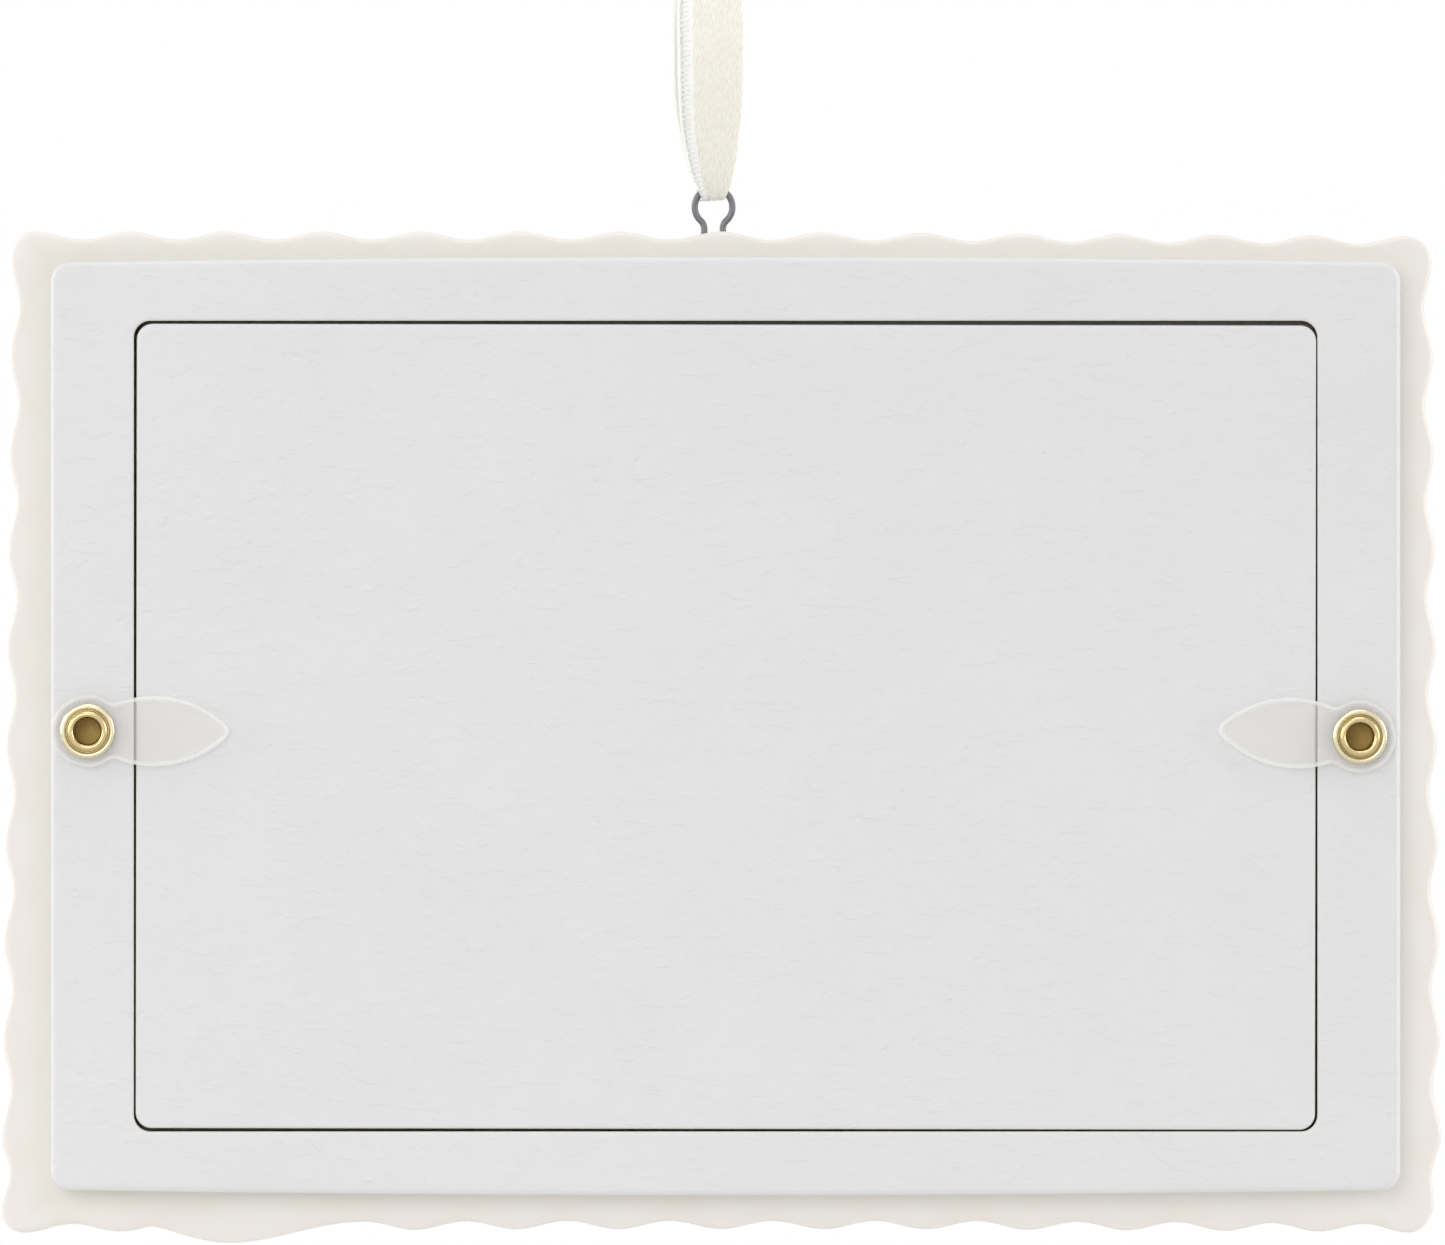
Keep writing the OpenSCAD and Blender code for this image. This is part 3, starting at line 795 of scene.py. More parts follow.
def finish_mesh(mesh: bpy.types.Mesh, sharp_deg: float) -> None:
    """Turns a closed mesh's faces outwards and smooths it, up to an angle.

    Args:
        mesh: The mesh.
        sharp_deg: Angle over which an edge stays sharp.
    """
    shell = bmesh.new()
    shell.from_mesh(mesh)
    bmesh.ops.recalc_face_normals(shell, faces=shell.faces)
    shell.to_mesh(mesh)
    shell.free()
    mesh.shade_smooth()
    mesh.set_sharp_from_angle(angle=math.radians(sharp_deg))


def make_piece(
    name: str, skins: Sequence[Skin], material: Material,
    values: Mapping[str, np.ndarray] | None = None, sharp_deg: float = 38.0,
) -> Object:
    """Makes one object of one or more closed skins.

    Args:
        name: The piece's name.
        skins: Points in the back view and faces of each skin.
        material: The piece's material.
        values: Numbers to keep at the points, by attribute name.
        sharp_deg: Angle over which an edge stays sharp.

    Returns:
        The object, at the origin.
    """
    mesh = bpy.data.meshes.new(name)
    faces: Faces = []
    start = 0
    for points, quads in skins:
        faces += [tuple(start + i for i in quad) for quad in quads]
        start += len(points)
    mesh.from_pydata(to_model(np.concatenate([points for points, _ in skins])), [], faces)
    for attribute, numbers in (values or {}).items():
        kind = "FLOAT" if numbers.ndim == 1 else "FLOAT_VECTOR"
        layer = mesh.attributes.new(attribute, kind, "POINT")
        layer.data.foreach_set("value" if kind == "FLOAT" else "vector", numbers.astype(np.float32).ravel())
    finish_mesh(mesh, sharp_deg)
    mesh.materials.append(material)
    piece = bpy.data.objects.new(name, mesh)
    bpy.context.scene.collection.objects.link(piece)
    return piece


def settle(piece: Object, sharp_deg: float = 38.0) -> Object:
    """Turns a piece's evaluated modifiers into a plain mesh and removes them.

    Args:
        piece: The piece with its modifiers.
        sharp_deg: Angle over which an edge stays sharp.

    Returns:
        The same piece.
    """
    graph = bpy.context.evaluated_depsgraph_get()
    graph.update()
    mesh = bpy.data.meshes.new_from_object(
        piece.evaluated_get(graph), preserve_all_data_layers=True, depsgraph=graph,
    )
    materials = list(piece.data.materials)
    piece.modifiers.clear()
    piece.data = mesh
    if not mesh.materials:
        for material in materials:
            mesh.materials.append(material)
    finish_mesh(mesh, sharp_deg)
    return piece


def set_inputs(modifier: bpy.types.Modifier, values: Mapping[str, Any]) -> None:
    """Sets a Geometry Nodes modifier's inputs through their sockets' identifiers.

    Args:
        modifier: The modifier, with its tree in place.
        values: The inputs' values by name.
    """
    for item in modifier.node_group.interface.items_tree:
        if item.item_type == "SOCKET" and item.in_out == "INPUT" and item.name in values:
            modifier[item.identifier] = values[item.name]


def open_tree(name: str, made: str, sockets: Mapping[str, Sequence[str]]) -> tuple[Tree, Any]:
    """Starts a Geometry Nodes tree.

    Args:
        name: The tree's name.
        made: Name of the geometry that it gives.
        sockets: Names of its inputs by kind of socket.

    Returns:
        The tree and the sockets of its inputs.
    """
    tree = bpy.data.node_groups.new(name, "GeometryNodeTree")
    for kind, names in sockets.items():
        for each in names:
            tree.interface.new_socket(each, in_out="INPUT", socket_type=f"NodeSocket{kind}")
    tree.interface.new_socket(made, in_out="OUTPUT", socket_type="NodeSocketGeometry")
    return tree, add(tree, "NodeGroupInput").outputs


def close_tree(tree: Tree, made: Socket, finish: Socket) -> Tree:
    """Ends a Geometry Nodes tree in real, dressed geometry.

    Args:
        tree: The tree, complete but for its end.
        made: The geometry that it made.
        finish: The material that it was given.

    Returns:
        The same tree.
    """
    real = add(tree, "GeometryNodeRealizeInstances", {0: made})
    dressed = add(tree, "GeometryNodeSetMaterial", {"Geometry": real.outputs[0], "Material": finish})
    add(tree, "NodeGroupOutput", {0: dressed.outputs[0]})
    return tree


def seat(piece: Object, body: str, slot: str, *nodes: str) -> Object:
    """Puts a finished piece on its body, in place of CAD nodes, and reports it.

    Args:
        piece: The finished piece.
        body: The body that it moves with.
        slot: The part's material slot that it shows; not used.
        *nodes: CAD nodes that it stands for.

    Returns:
        The same piece.
    """
    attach(piece, body)
    if nodes:
        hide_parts(*nodes)
    log.info("%s: %d faces, on %s", piece.name, len(piece.data.polygons), body)
    return piece


@dataclass
class Studio:
    """Camera, soft light, white surroundings and a pale floor, in metres."""

    look_at: tuple[float, float, float] = (-0.000818, 0.00575, -0.03968)
    distance: float = 1.2
    view_width: float = 0.131364
    sensor: float = 36.0
    floor_level: float = -0.118
    floor_size: float = 0.7
    ambient: float = 0.5

    def camera(self) -> None:
        """Sets the camera square to the back."""
        data = bpy.data.cameras.new("camera")
        data.sensor_width = self.sensor
        data.lens = self.sensor * self.distance / self.view_width
        data.clip_start, data.clip_end = 0.05, 20.0
        eye = bpy.data.objects.new("camera", data)
        x, y, z = self.look_at
        eye.location = (x, y + self.distance, z)
        eye.rotation_euler = (math.pi / 2, 0.0, math.pi)
        bpy.context.scene.collection.objects.link(eye)
        bpy.context.scene.camera = eye

    def lamp(self, name: str, at: tuple[float, float, float], watts: float, size: float) -> None:
        """Adds a soft square lamp that faces the ornament.

        Args:
            name: The lamp's name.
            at: Its place, in metres.
            watts: Its power.
            size: Length of its sides, in metres.
        """
        data = bpy.data.lights.new(name, "AREA")
        data.energy = watts
        data.size = size
        lamp = bpy.data.objects.new(name, data)
        lamp.location = at
        lamp.rotation_euler = (Vector(self.look_at) - Vector(at)).to_track_quat("-Z", "Y").to_euler()
        lamp.visible_camera = False
        bpy.context.scene.collection.objects.link(lamp)

    def surroundings(self) -> None:
        """Makes the surroundings white to the eye and to gloss, and plain soft light elsewhere."""
        world = bpy.data.worlds.new("studio")
        world.use_nodes = True
        tree = world.node_tree
        tree.nodes.clear()
        rays = add(tree, "ShaderNodeLightPath").outputs
        gloss = add(
            tree, "ShaderNodeMath", {0: rays["Is Glossy Ray"], 1: rays["Is Transmission Ray"]},
            operation="MAXIMUM",
        )
        seen = add(
            tree, "ShaderNodeMath", {0: rays["Is Camera Ray"], 1: gloss.outputs[0]}, operation="MAXIMUM",
        )
        strength = add(tree, "ShaderNodeMapRange", {0: seen.outputs[0], 3: self.ambient, 4: 1.0})
        light = add(
            tree, "ShaderNodeBackground", {"Color": (1.0, 1.0, 1.0, 1.0), "Strength": strength.outputs[0]},
        )
        add(tree, "ShaderNodeOutputWorld", {"Surface": light.outputs[0]})
        bpy.context.scene.world = world

    def floor(self) -> None:
        """Lays the floor under the hanging ornament."""
        half = self.floor_size / 2
        mesh = bpy.data.meshes.new("floor")
        corners = [(-half, -half), (half, -half), (half, half), (-half, half)]
        mesh.from_pydata([(x, y, self.floor_level) for x, y in corners], [], [(0, 1, 2, 3)])
        mesh.materials.append(StudioFloor().make())
        floor = bpy.data.objects.new("floor", mesh)
        bpy.context.scene.collection.objects.link(floor)

    def build(self) -> None:
        """Makes the whole studio."""
        bpy.context.scene.view_settings.view_transform = "Standard"
        self.camera()
        self.surroundings()
        for name, at, watts, size in (
            ("back_soft", (0.24, 0.85, 0.2), 1.6, 0.4), ("left_soft", (0.75, 0.15, 0.16), 2.1, 0.5),
            ("right_soft", (-0.75, 0.15, 0.14), 2.35, 0.5), ("top_soft", (0.0, 0.15, 0.75), 1.6, 0.5),
            ("front_soft", (-0.35, -0.9, 0.3), 2.8, 0.5), ("front_fill", (0.7, -0.6, 0.2), 1.8, 0.5),
        ):
            self.lamp(name, at, watts, size)
        self.floor()
        log.info("studio: camera, six soft lamps, floor")


@dataclass
class Levels:
    """Levels of the plates, out of the back."""

    front: float = -2.25
    back: float = 2.25
    card: float = 2.55
    board: float = 5.75
    tab: float = 5.80
    washer: float = 6.85
    rim: float = 7.15


@dataclass
class WavyFrame:
    """The cast frame: a plain rounded frame whose outer edge a node tree bends into waves."""

    levels: Levels
    centre: Point = (0.7, -49.5)
    width: float = 130.6
    height: float = 91.0
    spread: float = 2.0
    corner_r: float = 2.25
    waves_long: int = 14
    waves_short: int = 10
    depth: float = 0.75
    last_wave: float = 0.75
    end_ease: float = 0.7
    lobe_rise: float = 1.1
    lobe_start: float = 1.3
    lobe_waves: float = 2.2
    lobe_skew: float = 0.73
    foot_bow: float = 0.35
    top_fall: float = 0.4
    corner_tuck: float = 1.1
    tuck_reach: float = 6.7
    tuck_fade: float = 8.0
    front_round: float = 1.4
    back_round: float = 0.5
    unevenness: float = 0.1
    uneven_pitch: float = 1000 / 140
    even_tone: float = 0.62
    sight: Point = (92.0, 58.0)
    sight_r: float = 2.0
    sight_bevel: float = 1.5
    # How far the bevel's rounded ends lie off its own corners, across and down
    bevel_top: Point = (0.08, 0.16)
    bevel_foot: Point = (0.2, 0.12)
    lip_band: float = 0.3
    rebate_band: float = 0.2
    rebate: float = 3.2
    pane_t: float = 1.0
    pane_play: float = 0.2
    pane_air: float = 0.02
    pane_ease: float = 0.1
    points_per_wave: int = 20
    corner_points: int = 10
    round_steps: int = 7
    # Rings over the front and the back, as shares of the way from the window to the outer edge
    face_shares: tuple[float, ...] = (0.4, 0.7, 0.9, 0.98)
    back_shares: tuple[float, ...] = (0.98, 0.9, 0.8, 0.7, 0.4)

    def steps(self) -> Steps:
        """Numbers of points round a plan."""
        long, short = self.waves_long * self.points_per_wave, self.waves_short * self.points_per_wave
        return Steps(long, short, self.corner_points)

    def rings(self) -> tuple[list[np.ndarray], np.ndarray]:
        """Rings round the frame's section, and how far each point follows the waves.

        Returns:
            The rings, and the weight of the waves at each point.
        """
        steps, low, high = self.steps(), self.levels.front, self.levels.back

        def rim(inset: float) -> np.ndarray:
            """Outer outline, taken in."""
            return outline(self.width, self.height, self.corner_r, steps, -inset)

        def window(grow: float) -> np.ndarray:
            """Window outline, grown."""
            return outline(*self.sight, self.sight_r, steps, grow)

        made = [
            (window(0), high - self.pane_t, 0.0), (window(0), low + self.sight_bevel, 0.0),
            (window(self.bevel_top[0]), low + self.sight_bevel - self.bevel_top[1], 0.0),
            (window(self.sight_bevel - self.bevel_foot[0]), low + self.bevel_foot[1], 0.0),
            (window(self.sight_bevel), low, 0.0), (window(self.sight_bevel + self.lip_band), low, 0.0),
        ]
        front_edge, back_edge = rim(self.front_round), rim(self.back_round)
        for share in self.face_shares:
            made.append((window(self.sight_bevel) * (1 - share) + front_edge * share, low, share**2))
        for rise, inset in rounding(self.front_round, self.round_steps + 1):
            made.append((rim(inset), low + rise, 1.0))
        for inset, drop in rounding(self.back_round, self.round_steps + 1):
            made.append((rim(inset), high - drop, 1.0))
        for share in self.back_shares:
            made.append((window(self.rebate) * (1 - share) + back_edge * share, high, share**2))
        made += [
            (window(self.rebate + self.rebate_band), high, 0.0), (window(self.rebate), high, 0.0),
            (window(self.rebate), high - self.pane_t, 0.0), (window(self.lip_band), high - self.pane_t, 0.0),
        ]
        return stack([(plan + self.centre, w, weight) for plan, w, weight in made])

    def side_run(self, share: np.ndarray) -> np.ndarray:
        """Share of a side's waves up to a share of its height; the lowest wave is shorter.

        Args:
            share: Shares of the side's height.

        Returns:
            Shares of the side's waves.
        """
        risen = share * (self.waves_short - 1 + self.last_wave)
        passed = np.where(risen < self.last_wave, risen / self.last_wave, risen + 1 - self.last_wave)
        return passed / self.waves_short

    def long_run(self, share: np.ndarray) -> np.ndarray:
        """Share of a long side's waves up to a share of its length; they crowd at its ends.

        Args:
            share: Shares of the side's length.

        Returns:
            Shares of the side's waves.
        """
        length = self.width - 2 * self.corner_r
        given = np.linspace(0, 1, 1001)
        return np.interp(share, given - self.end_ease / length * np.sin(math.tau * given), given)

    def edge_facts(self) -> dict[str, np.ndarray]:
        """For the points of one ring: share of their side's waves, outward direction, and which side.

        Returns:
            The numbers and directions by attribute name.
        """
        steps = self.steps()
        corner = np.zeros(steps.corner + 1)
        rise, across = np.arange(1, steps.short) / steps.short, np.arange(1, steps.long) / steps.long
        run, out, long_side, lower = [], [], [], []
        for number, (direction, share) in enumerate((
            ((-1, 0, 0), self.side_run(rise)), ((0, 0, 1), self.long_run(1 - across)),
            ((1, 0, 0), self.side_run(1 - rise)), ((0, 0, -1), self.long_run(across)),
        )):
            run += [share, corner]
            out += [np.tile(direction, (len(share), 1)), np.zeros((len(corner), 3))]
            long_side += [np.full(len(share), number % 2), corner]
            lower += [np.full(len(share), float(number == 3)), corner]
        return {
            "run": np.concatenate(run), "out": np.concatenate(out),
            "long_side": np.concatenate(long_side), "lower": np.concatenate(lower),
        }

    def inputs(self) -> dict[str, float]:
        """The node tree's numbers by the names of its inputs, lengths in metres.

        Returns:
            The numbers by name.
        """
        first, last = (
            -self.depth * (1 - math.cos(math.tau * at)) / 2
            for at in (self.lobe_start, self.lobe_start + self.lobe_waves)
        )
        return {
            "Waves on a long side": float(self.waves_long), "Waves on a short side": float(self.waves_short),
            "Wave depth": self.depth / 1000, "Lobe start": self.lobe_start, "Lobe waves": self.lobe_waves,
            "Lobe skew": self.lobe_skew, "Lobe foot": first / 1000, "Lobe fall": (last - first) / 1000,
            "Lobe rise": self.lobe_rise / 1000, "Half width": self.width / 2000,
            "Half height": self.height / 2000, "Spread": self.spread / 4000,
            "Foot bow": self.foot_bow / 1000, "Top fall": self.top_fall / 1000,
            "Corner tuck": self.corner_tuck / 1000, "Tuck top": self.tuck_reach / 1000 - self.height / 2000,
            "Tuck fade": self.tuck_fade, "Unevenness": self.unevenness / 1000,
        }

    def wave_tree(self) -> Tree:
        """The node tree that bends the outer edge into waves, with a named input for each size.

        Returns:
            The tree.
        """
        names = list(self.inputs())
        tree, given = open_tree("wavy_edge", "Frame", {
            "Geometry": ["Frame"], "Float": names, "Vector": ["Centre"], "Material": ["Finish"],
        })
        known: dict[str, Socket] = {name: given[name] for name in names}
        for name in ("run", "long_side", "lower", "weight"):
            known[name] = add(
                tree, "GeometryNodeInputNamedAttribute", {"Name": name}, data_type="FLOAT",
            ).outputs[0]
        outward = add(
            tree, "GeometryNodeInputNamedAttribute", {"Name": "out"}, data_type="FLOAT_VECTOR",
        ).outputs[0]
        position = add(tree, "GeometryNodeInputPosition").outputs[0]
        from_centre = add(
            tree, "ShaderNodeVectorMath", {0: position, 1: given["Centre"]}, operation="SUBTRACT",
        ).outputs[0]
        axes = add(tree, "ShaderNodeSeparateXYZ", {0: from_centre}).outputs
        noise = add(
            tree, "ShaderNodeTexNoise",
            {"Vector": position, "Scale": 1000 / self.uneven_pitch, "Detail": 1.0, "W": 3.0},
            noise_dimensions="4D",
        )
        known |= {"x": axes["X"], "z": axes["Z"], "noise": noise.outputs[0]}
        tuck = add(
            tree, "ShaderNodeMapRange", {0: axes["Z"], 1: given["Tuck top"], 2: -self.height / 2000},
            interpolation_type="SMOOTHSTEP",
        )
        known["tucked"] = tuck.outputs[0]
        # Each row names a sum, its operation, and its numbers or the names of earlier sums
        for name, operation, *values in (
            ("more", "SUBTRACT", "Waves on a long side", "Waves on a short side"),
            ("waves", "MULTIPLY_ADD", "long_side", "more", "Waves on a short side"),
            ("at", "MULTIPLY", "run", "waves"), ("turned", "MULTIPLY", "at", math.tau),
            ("cosine", "COSINE", "turned"), ("dip", "MULTIPLY_ADD", "cosine", 0.5, -0.5),
            ("even", "MULTIPLY", "dip", "Wave depth"),
            # Two waves of the bottom edge ran together into one broad lobe
            ("since", "SUBTRACT", "at", "Lobe start"), ("part", "DIVIDE", "since", "Lobe waves"),
            ("within", "COMPARE", "part", 0.5, 0.5), ("positive", "MAXIMUM", "part", 0.0),
            ("skewed", "POWER", "positive", "Lobe skew"), ("lobe_turn", "MULTIPLY", "skewed", math.tau),
            ("lobe_cosine", "COSINE", "lobe_turn"), ("hill", "MULTIPLY_ADD", "lobe_cosine", -0.5, 0.5),
            ("base", "MULTIPLY_ADD", "part", "Lobe fall", "Lobe foot"),
            ("over", "SUBTRACT", "Lobe rise", "base"), ("lobe", "MULTIPLY_ADD", "over", "hill", "base"),
            ("joined", "MULTIPLY", "within", "lower"), ("changed", "SUBTRACT", "lobe", "even"),
            ("offset", "MULTIPLY_ADD", "changed", "joined", "even"),
            # The painted shade follows the waves at the edge, deeper in the hollows and paler on the crests,
            # and is even on the plain front and back
            ("depths", "DIVIDE", "offset", "Wave depth"),
            ("over_even", "ADD", "depths", 1.0 - self.even_tone),
            ("crest", "MULTIPLY_ADD", "over_even", "weight", self.even_tone),
            ("ragged", "SUBTRACT", "noise", 0.5), ("bent", "MULTIPLY_ADD", "ragged", "Unevenness", "offset"),
            ("outwards", "MULTIPLY", "bent", "weight"),
            # The frame widens to its foot, the foot bows, the top falls to the right and one corner is
            # tucked in
            ("side", "DIVIDE", "x", "Half width"), ("high", "DIVIDE", "z", "Half height"),
            ("right", "MULTIPLY", "side", -1.0), ("rightwards", "MAXIMUM", "right", 0.0),
            ("upper", "MAXIMUM", "high", 0.0), ("down", "MULTIPLY", "high", -1.0),
            ("under", "MAXIMUM", "down", 0.0),
            ("faded", "POWER", "rightwards", "Tuck fade"), ("tuck_here", "MULTIPLY", "faded", "tucked"),
            ("tuck", "MULTIPLY", "tuck_here", "Corner tuck"), ("wider", "MULTIPLY", "side", "Spread"),
            ("wider_down", "MULTIPLY_ADD", "wider", "down", "tuck"),
            ("shift_x", "MULTIPLY", "wider_down", "weight"),
            ("square", "MULTIPLY", "side", "side"), ("bow_here", "MULTIPLY", "square", "under"),
            ("bow", "MULTIPLY", "bow_here", "Foot bow"), ("fall_here", "MULTIPLY", "rightwards", "upper"),
            ("sunk", "MULTIPLY_ADD", "fall_here", "Top fall", "bow"), ("lowered", "MULTIPLY", "sunk", -1.0),
            ("shift_z", "MULTIPLY", "lowered", "weight"),
        ):
            sockets = {i: known[value] if isinstance(value, str) else value for i, value in enumerate(values)}
            known[name] = add(tree, "ShaderNodeMath", sockets, operation=operation).outputs[0]
        moved = add(
            tree, "ShaderNodeVectorMath", {0: outward, "Scale": known["outwards"]}, operation="SCALE",
        ).outputs[0]
        uneven = add(tree, "ShaderNodeCombineXYZ", {"X": known["shift_x"], "Z": known["shift_z"]}).outputs[0]
        shift = add(tree, "ShaderNodeVectorMath", {0: moved, 1: uneven}, operation="ADD").outputs[0]
        marked = add(
            tree, "GeometryNodeStoreNamedAttribute",
            {"Geometry": given["Frame"], "Name": "crest", "Value": known["crest"]},
            data_type="FLOAT", domain="POINT",
        )
        bent = add(tree, "GeometryNodeSetPosition", {"Geometry": marked.outputs[0], "Offset": shift})
        return close_tree(tree, bent.outputs[0], given["Finish"])

    def build(self, material: Material) -> Object:
        """Builds the frame and bends its edge.

        Args:
            material: Material of the piece.

        Returns:
            The finished piece.
        """
        rings, weights = self.rings()
        values = {name: np.concatenate([numbers] * len(rings)) for name, numbers in self.edge_facts().items()}
        values["weight"] = weights
        piece = make_piece("cast_frame", [skin(rings, Shell.LOOPED)], material, values)
        waves = piece.modifiers.new("waves", "NODES")
        waves.node_group = self.wave_tree()
        middle = (-self.centre[0] / 1000, 0.0, self.centre[1] / 1000)
        set_inputs(waves, self.inputs() | {"Centre": middle, "Finish": material})
        return seat(settle(piece), "root", "ivory_resin", "front_frame")

    def pane(self, material: Material) -> Object:
        """Builds the clear pane in the rebate, a hair clear of the lip and of the card.

        Args:
            material: Material of the piece.

        Returns:
            The finished piece.
        """
        low, high = self.levels.back - self.pane_t + self.pane_air, self.levels.back - self.pane_air
        lap, ease = self.rebate - self.pane_play, self.pane_ease
        steps = Steps(2, 2, self.corner_points)
        rings = [
            level(outline(*self.sight, self.sight_r, steps, grow) + self.centre, w)
            for grow, w in ((lap - ease, low), (lap, low + ease), (lap, high - ease), (lap - ease, high))
        ]
        piece = make_piece("clear_window", [skin(rings, Shell.CAPPED)], material)
        return seat(piece, "root", "clear_pane", "window_pane")


@dataclass
class BoardBack:
    """The lacquered back frame and the panel that lifts out of it."""

    levels: Levels
    centre: Point = (1.1, -49.1)
    width: float = 122.7
    height: float = 84.4
    corner_r: float = 1.8
    bow: float = 0.45
    edge_round: float = 0.5
    opening: Point = (107.6, 73.7)
    opening_r: float = 1.5
    panel: Point = (107.24, 73.14)
    panel_r: float = 1.45
    gap_round: float = 0.25
    flat_band: float = 0.3
    worn_depth: float = 0.8
    frame_wear: float = 0.6
    panel_wear: float = 0.4
    panel_shift: Point = (0.03, -0.06)
    panel_turn_deg: float = -0.09
    pivots: tuple[Point, Point] = ((-56.85, -49.55), (58.7, -50.05))
    bore_r: float = 1.505
    pocket_r: float = 2.35
    pocket_t: float = 0.35
    steps: Steps = field(default_factory=lambda: Steps(48, 32, 12))
    edge_points: int = 9
    gap_points: int = 7
    bore_points: int = 48

    def plan(self, grow: float) -> np.ndarray:
        """Outline of the back frame, grown."""
        return outline(self.width, self.height, self.corner_r, self.steps, grow, self.bow) + self.centre

    def mouth(self, grow: float) -> np.ndarray:
        """Outline of the panel's opening, grown."""
        return outline(*self.opening, self.opening_r, self.steps, grow) + self.centre

    def lid(self, grow: float) -> np.ndarray:
        """Outline of the panel as it lies in its opening, a little off and turned, grown."""
        lid = outline(*self.panel, self.panel_r, self.steps, grow) @ spin(self.panel_turn_deg)
        return lid + self.centre + self.panel_shift

    def cutter(self, at: Point) -> Object:
        """A stepped pin that cuts an eyelet's bore and the pocket of its flange.

        Args:
            at: Centre of the bore, in the back view.

        Returns:
            The pin, which is not a piece.
        """
        low, step, high = self.levels.back - 1, self.levels.back + self.pocket_t, self.levels.board + 1
        stages = ((self.pocket_r, low), (self.pocket_r, step), (self.bore_r, step), (self.bore_r, high))
        rings = [level(circle(self.bore_points) * radius + at, w) for radius, w in stages]
        return make_piece("bore_cutter", [skin(rings, Shell.CAPPED)], bpy.data.materials[0])

    def frame_piece(self, material: Material) -> Object:
        """Builds the back frame with its eyelet bores.

        Args:
            material: Material of the piece.

        Returns:
            The finished piece.
        """
        low, high = self.levels.back, self.levels.board
        stages = [(self.plan(0), low, 0.0)]
        for inset, drop in rounding(self.edge_round, self.edge_points):
            stages.append((self.plan(-inset), high - drop, 0.0))
        stages += [
            (self.plan(-self.edge_round - self.flat_band), high, 0.0),
            (self.mouth(self.gap_round + self.flat_band), high, 0.0),
        ]
        for grow, drop in reversed(rounding(self.gap_round, self.gap_points)):
            worn = self.frame_wear * (1 - grow / self.gap_round) ** 4
            stages.append((self.mouth(grow), high - drop, worn))
        stages += [(self.mouth(0), high - self.worn_depth, 1.0), (self.mouth(0), low, 1.0)]
        rings, bare = stack(stages)
        piece = make_piece("board_frame", [skin(rings, Shell.LOOPED)], material, {"bare": bare})
        cutters = [self.cutter(at) for at in self.pivots]
        for cutter in cutters:
            cut = piece.modifiers.new("bore", "BOOLEAN")
            cut.operation, cut.object, cut.solver = "DIFFERENCE", cutter, "EXACT"
        settle(piece)
        for cutter in cutters:
            bpy.data.meshes.remove(cutter.data)
        return seat(piece, "root", "white_board", "back_frame")

    def panel_piece(self, material: Material) -> Object:
        """Builds the lift-out panel.

        Args:
            material: Material of the piece.

        Returns:
            The finished piece.
        """
        low, high = self.levels.card, self.levels.board
        stages = [(self.lid(0), low, 1.0), (self.lid(0), high - self.worn_depth, 1.0)]
        for inset, drop in rounding(self.gap_round, self.gap_points):
            worn = self.panel_wear * (1 - inset / self.gap_round) ** 4
            stages.append((self.lid(-inset), high - drop, worn))
        stages.append((self.lid(-self.gap_round - self.flat_band), high, 0.0))
        rings, bare = stack(stages)
        piece = make_piece("board_panel", [skin(rings, Shell.CAPPED)], material, {"bare": bare})
        return seat(piece, "root", "white_board", "back_panel")

    def build(self) -> None:
        """Builds both boards of one lacquer."""
        lacquer = LacqueredFibreboard().make()
        self.frame_piece(lacquer)
        self.panel_piece(lacquer)


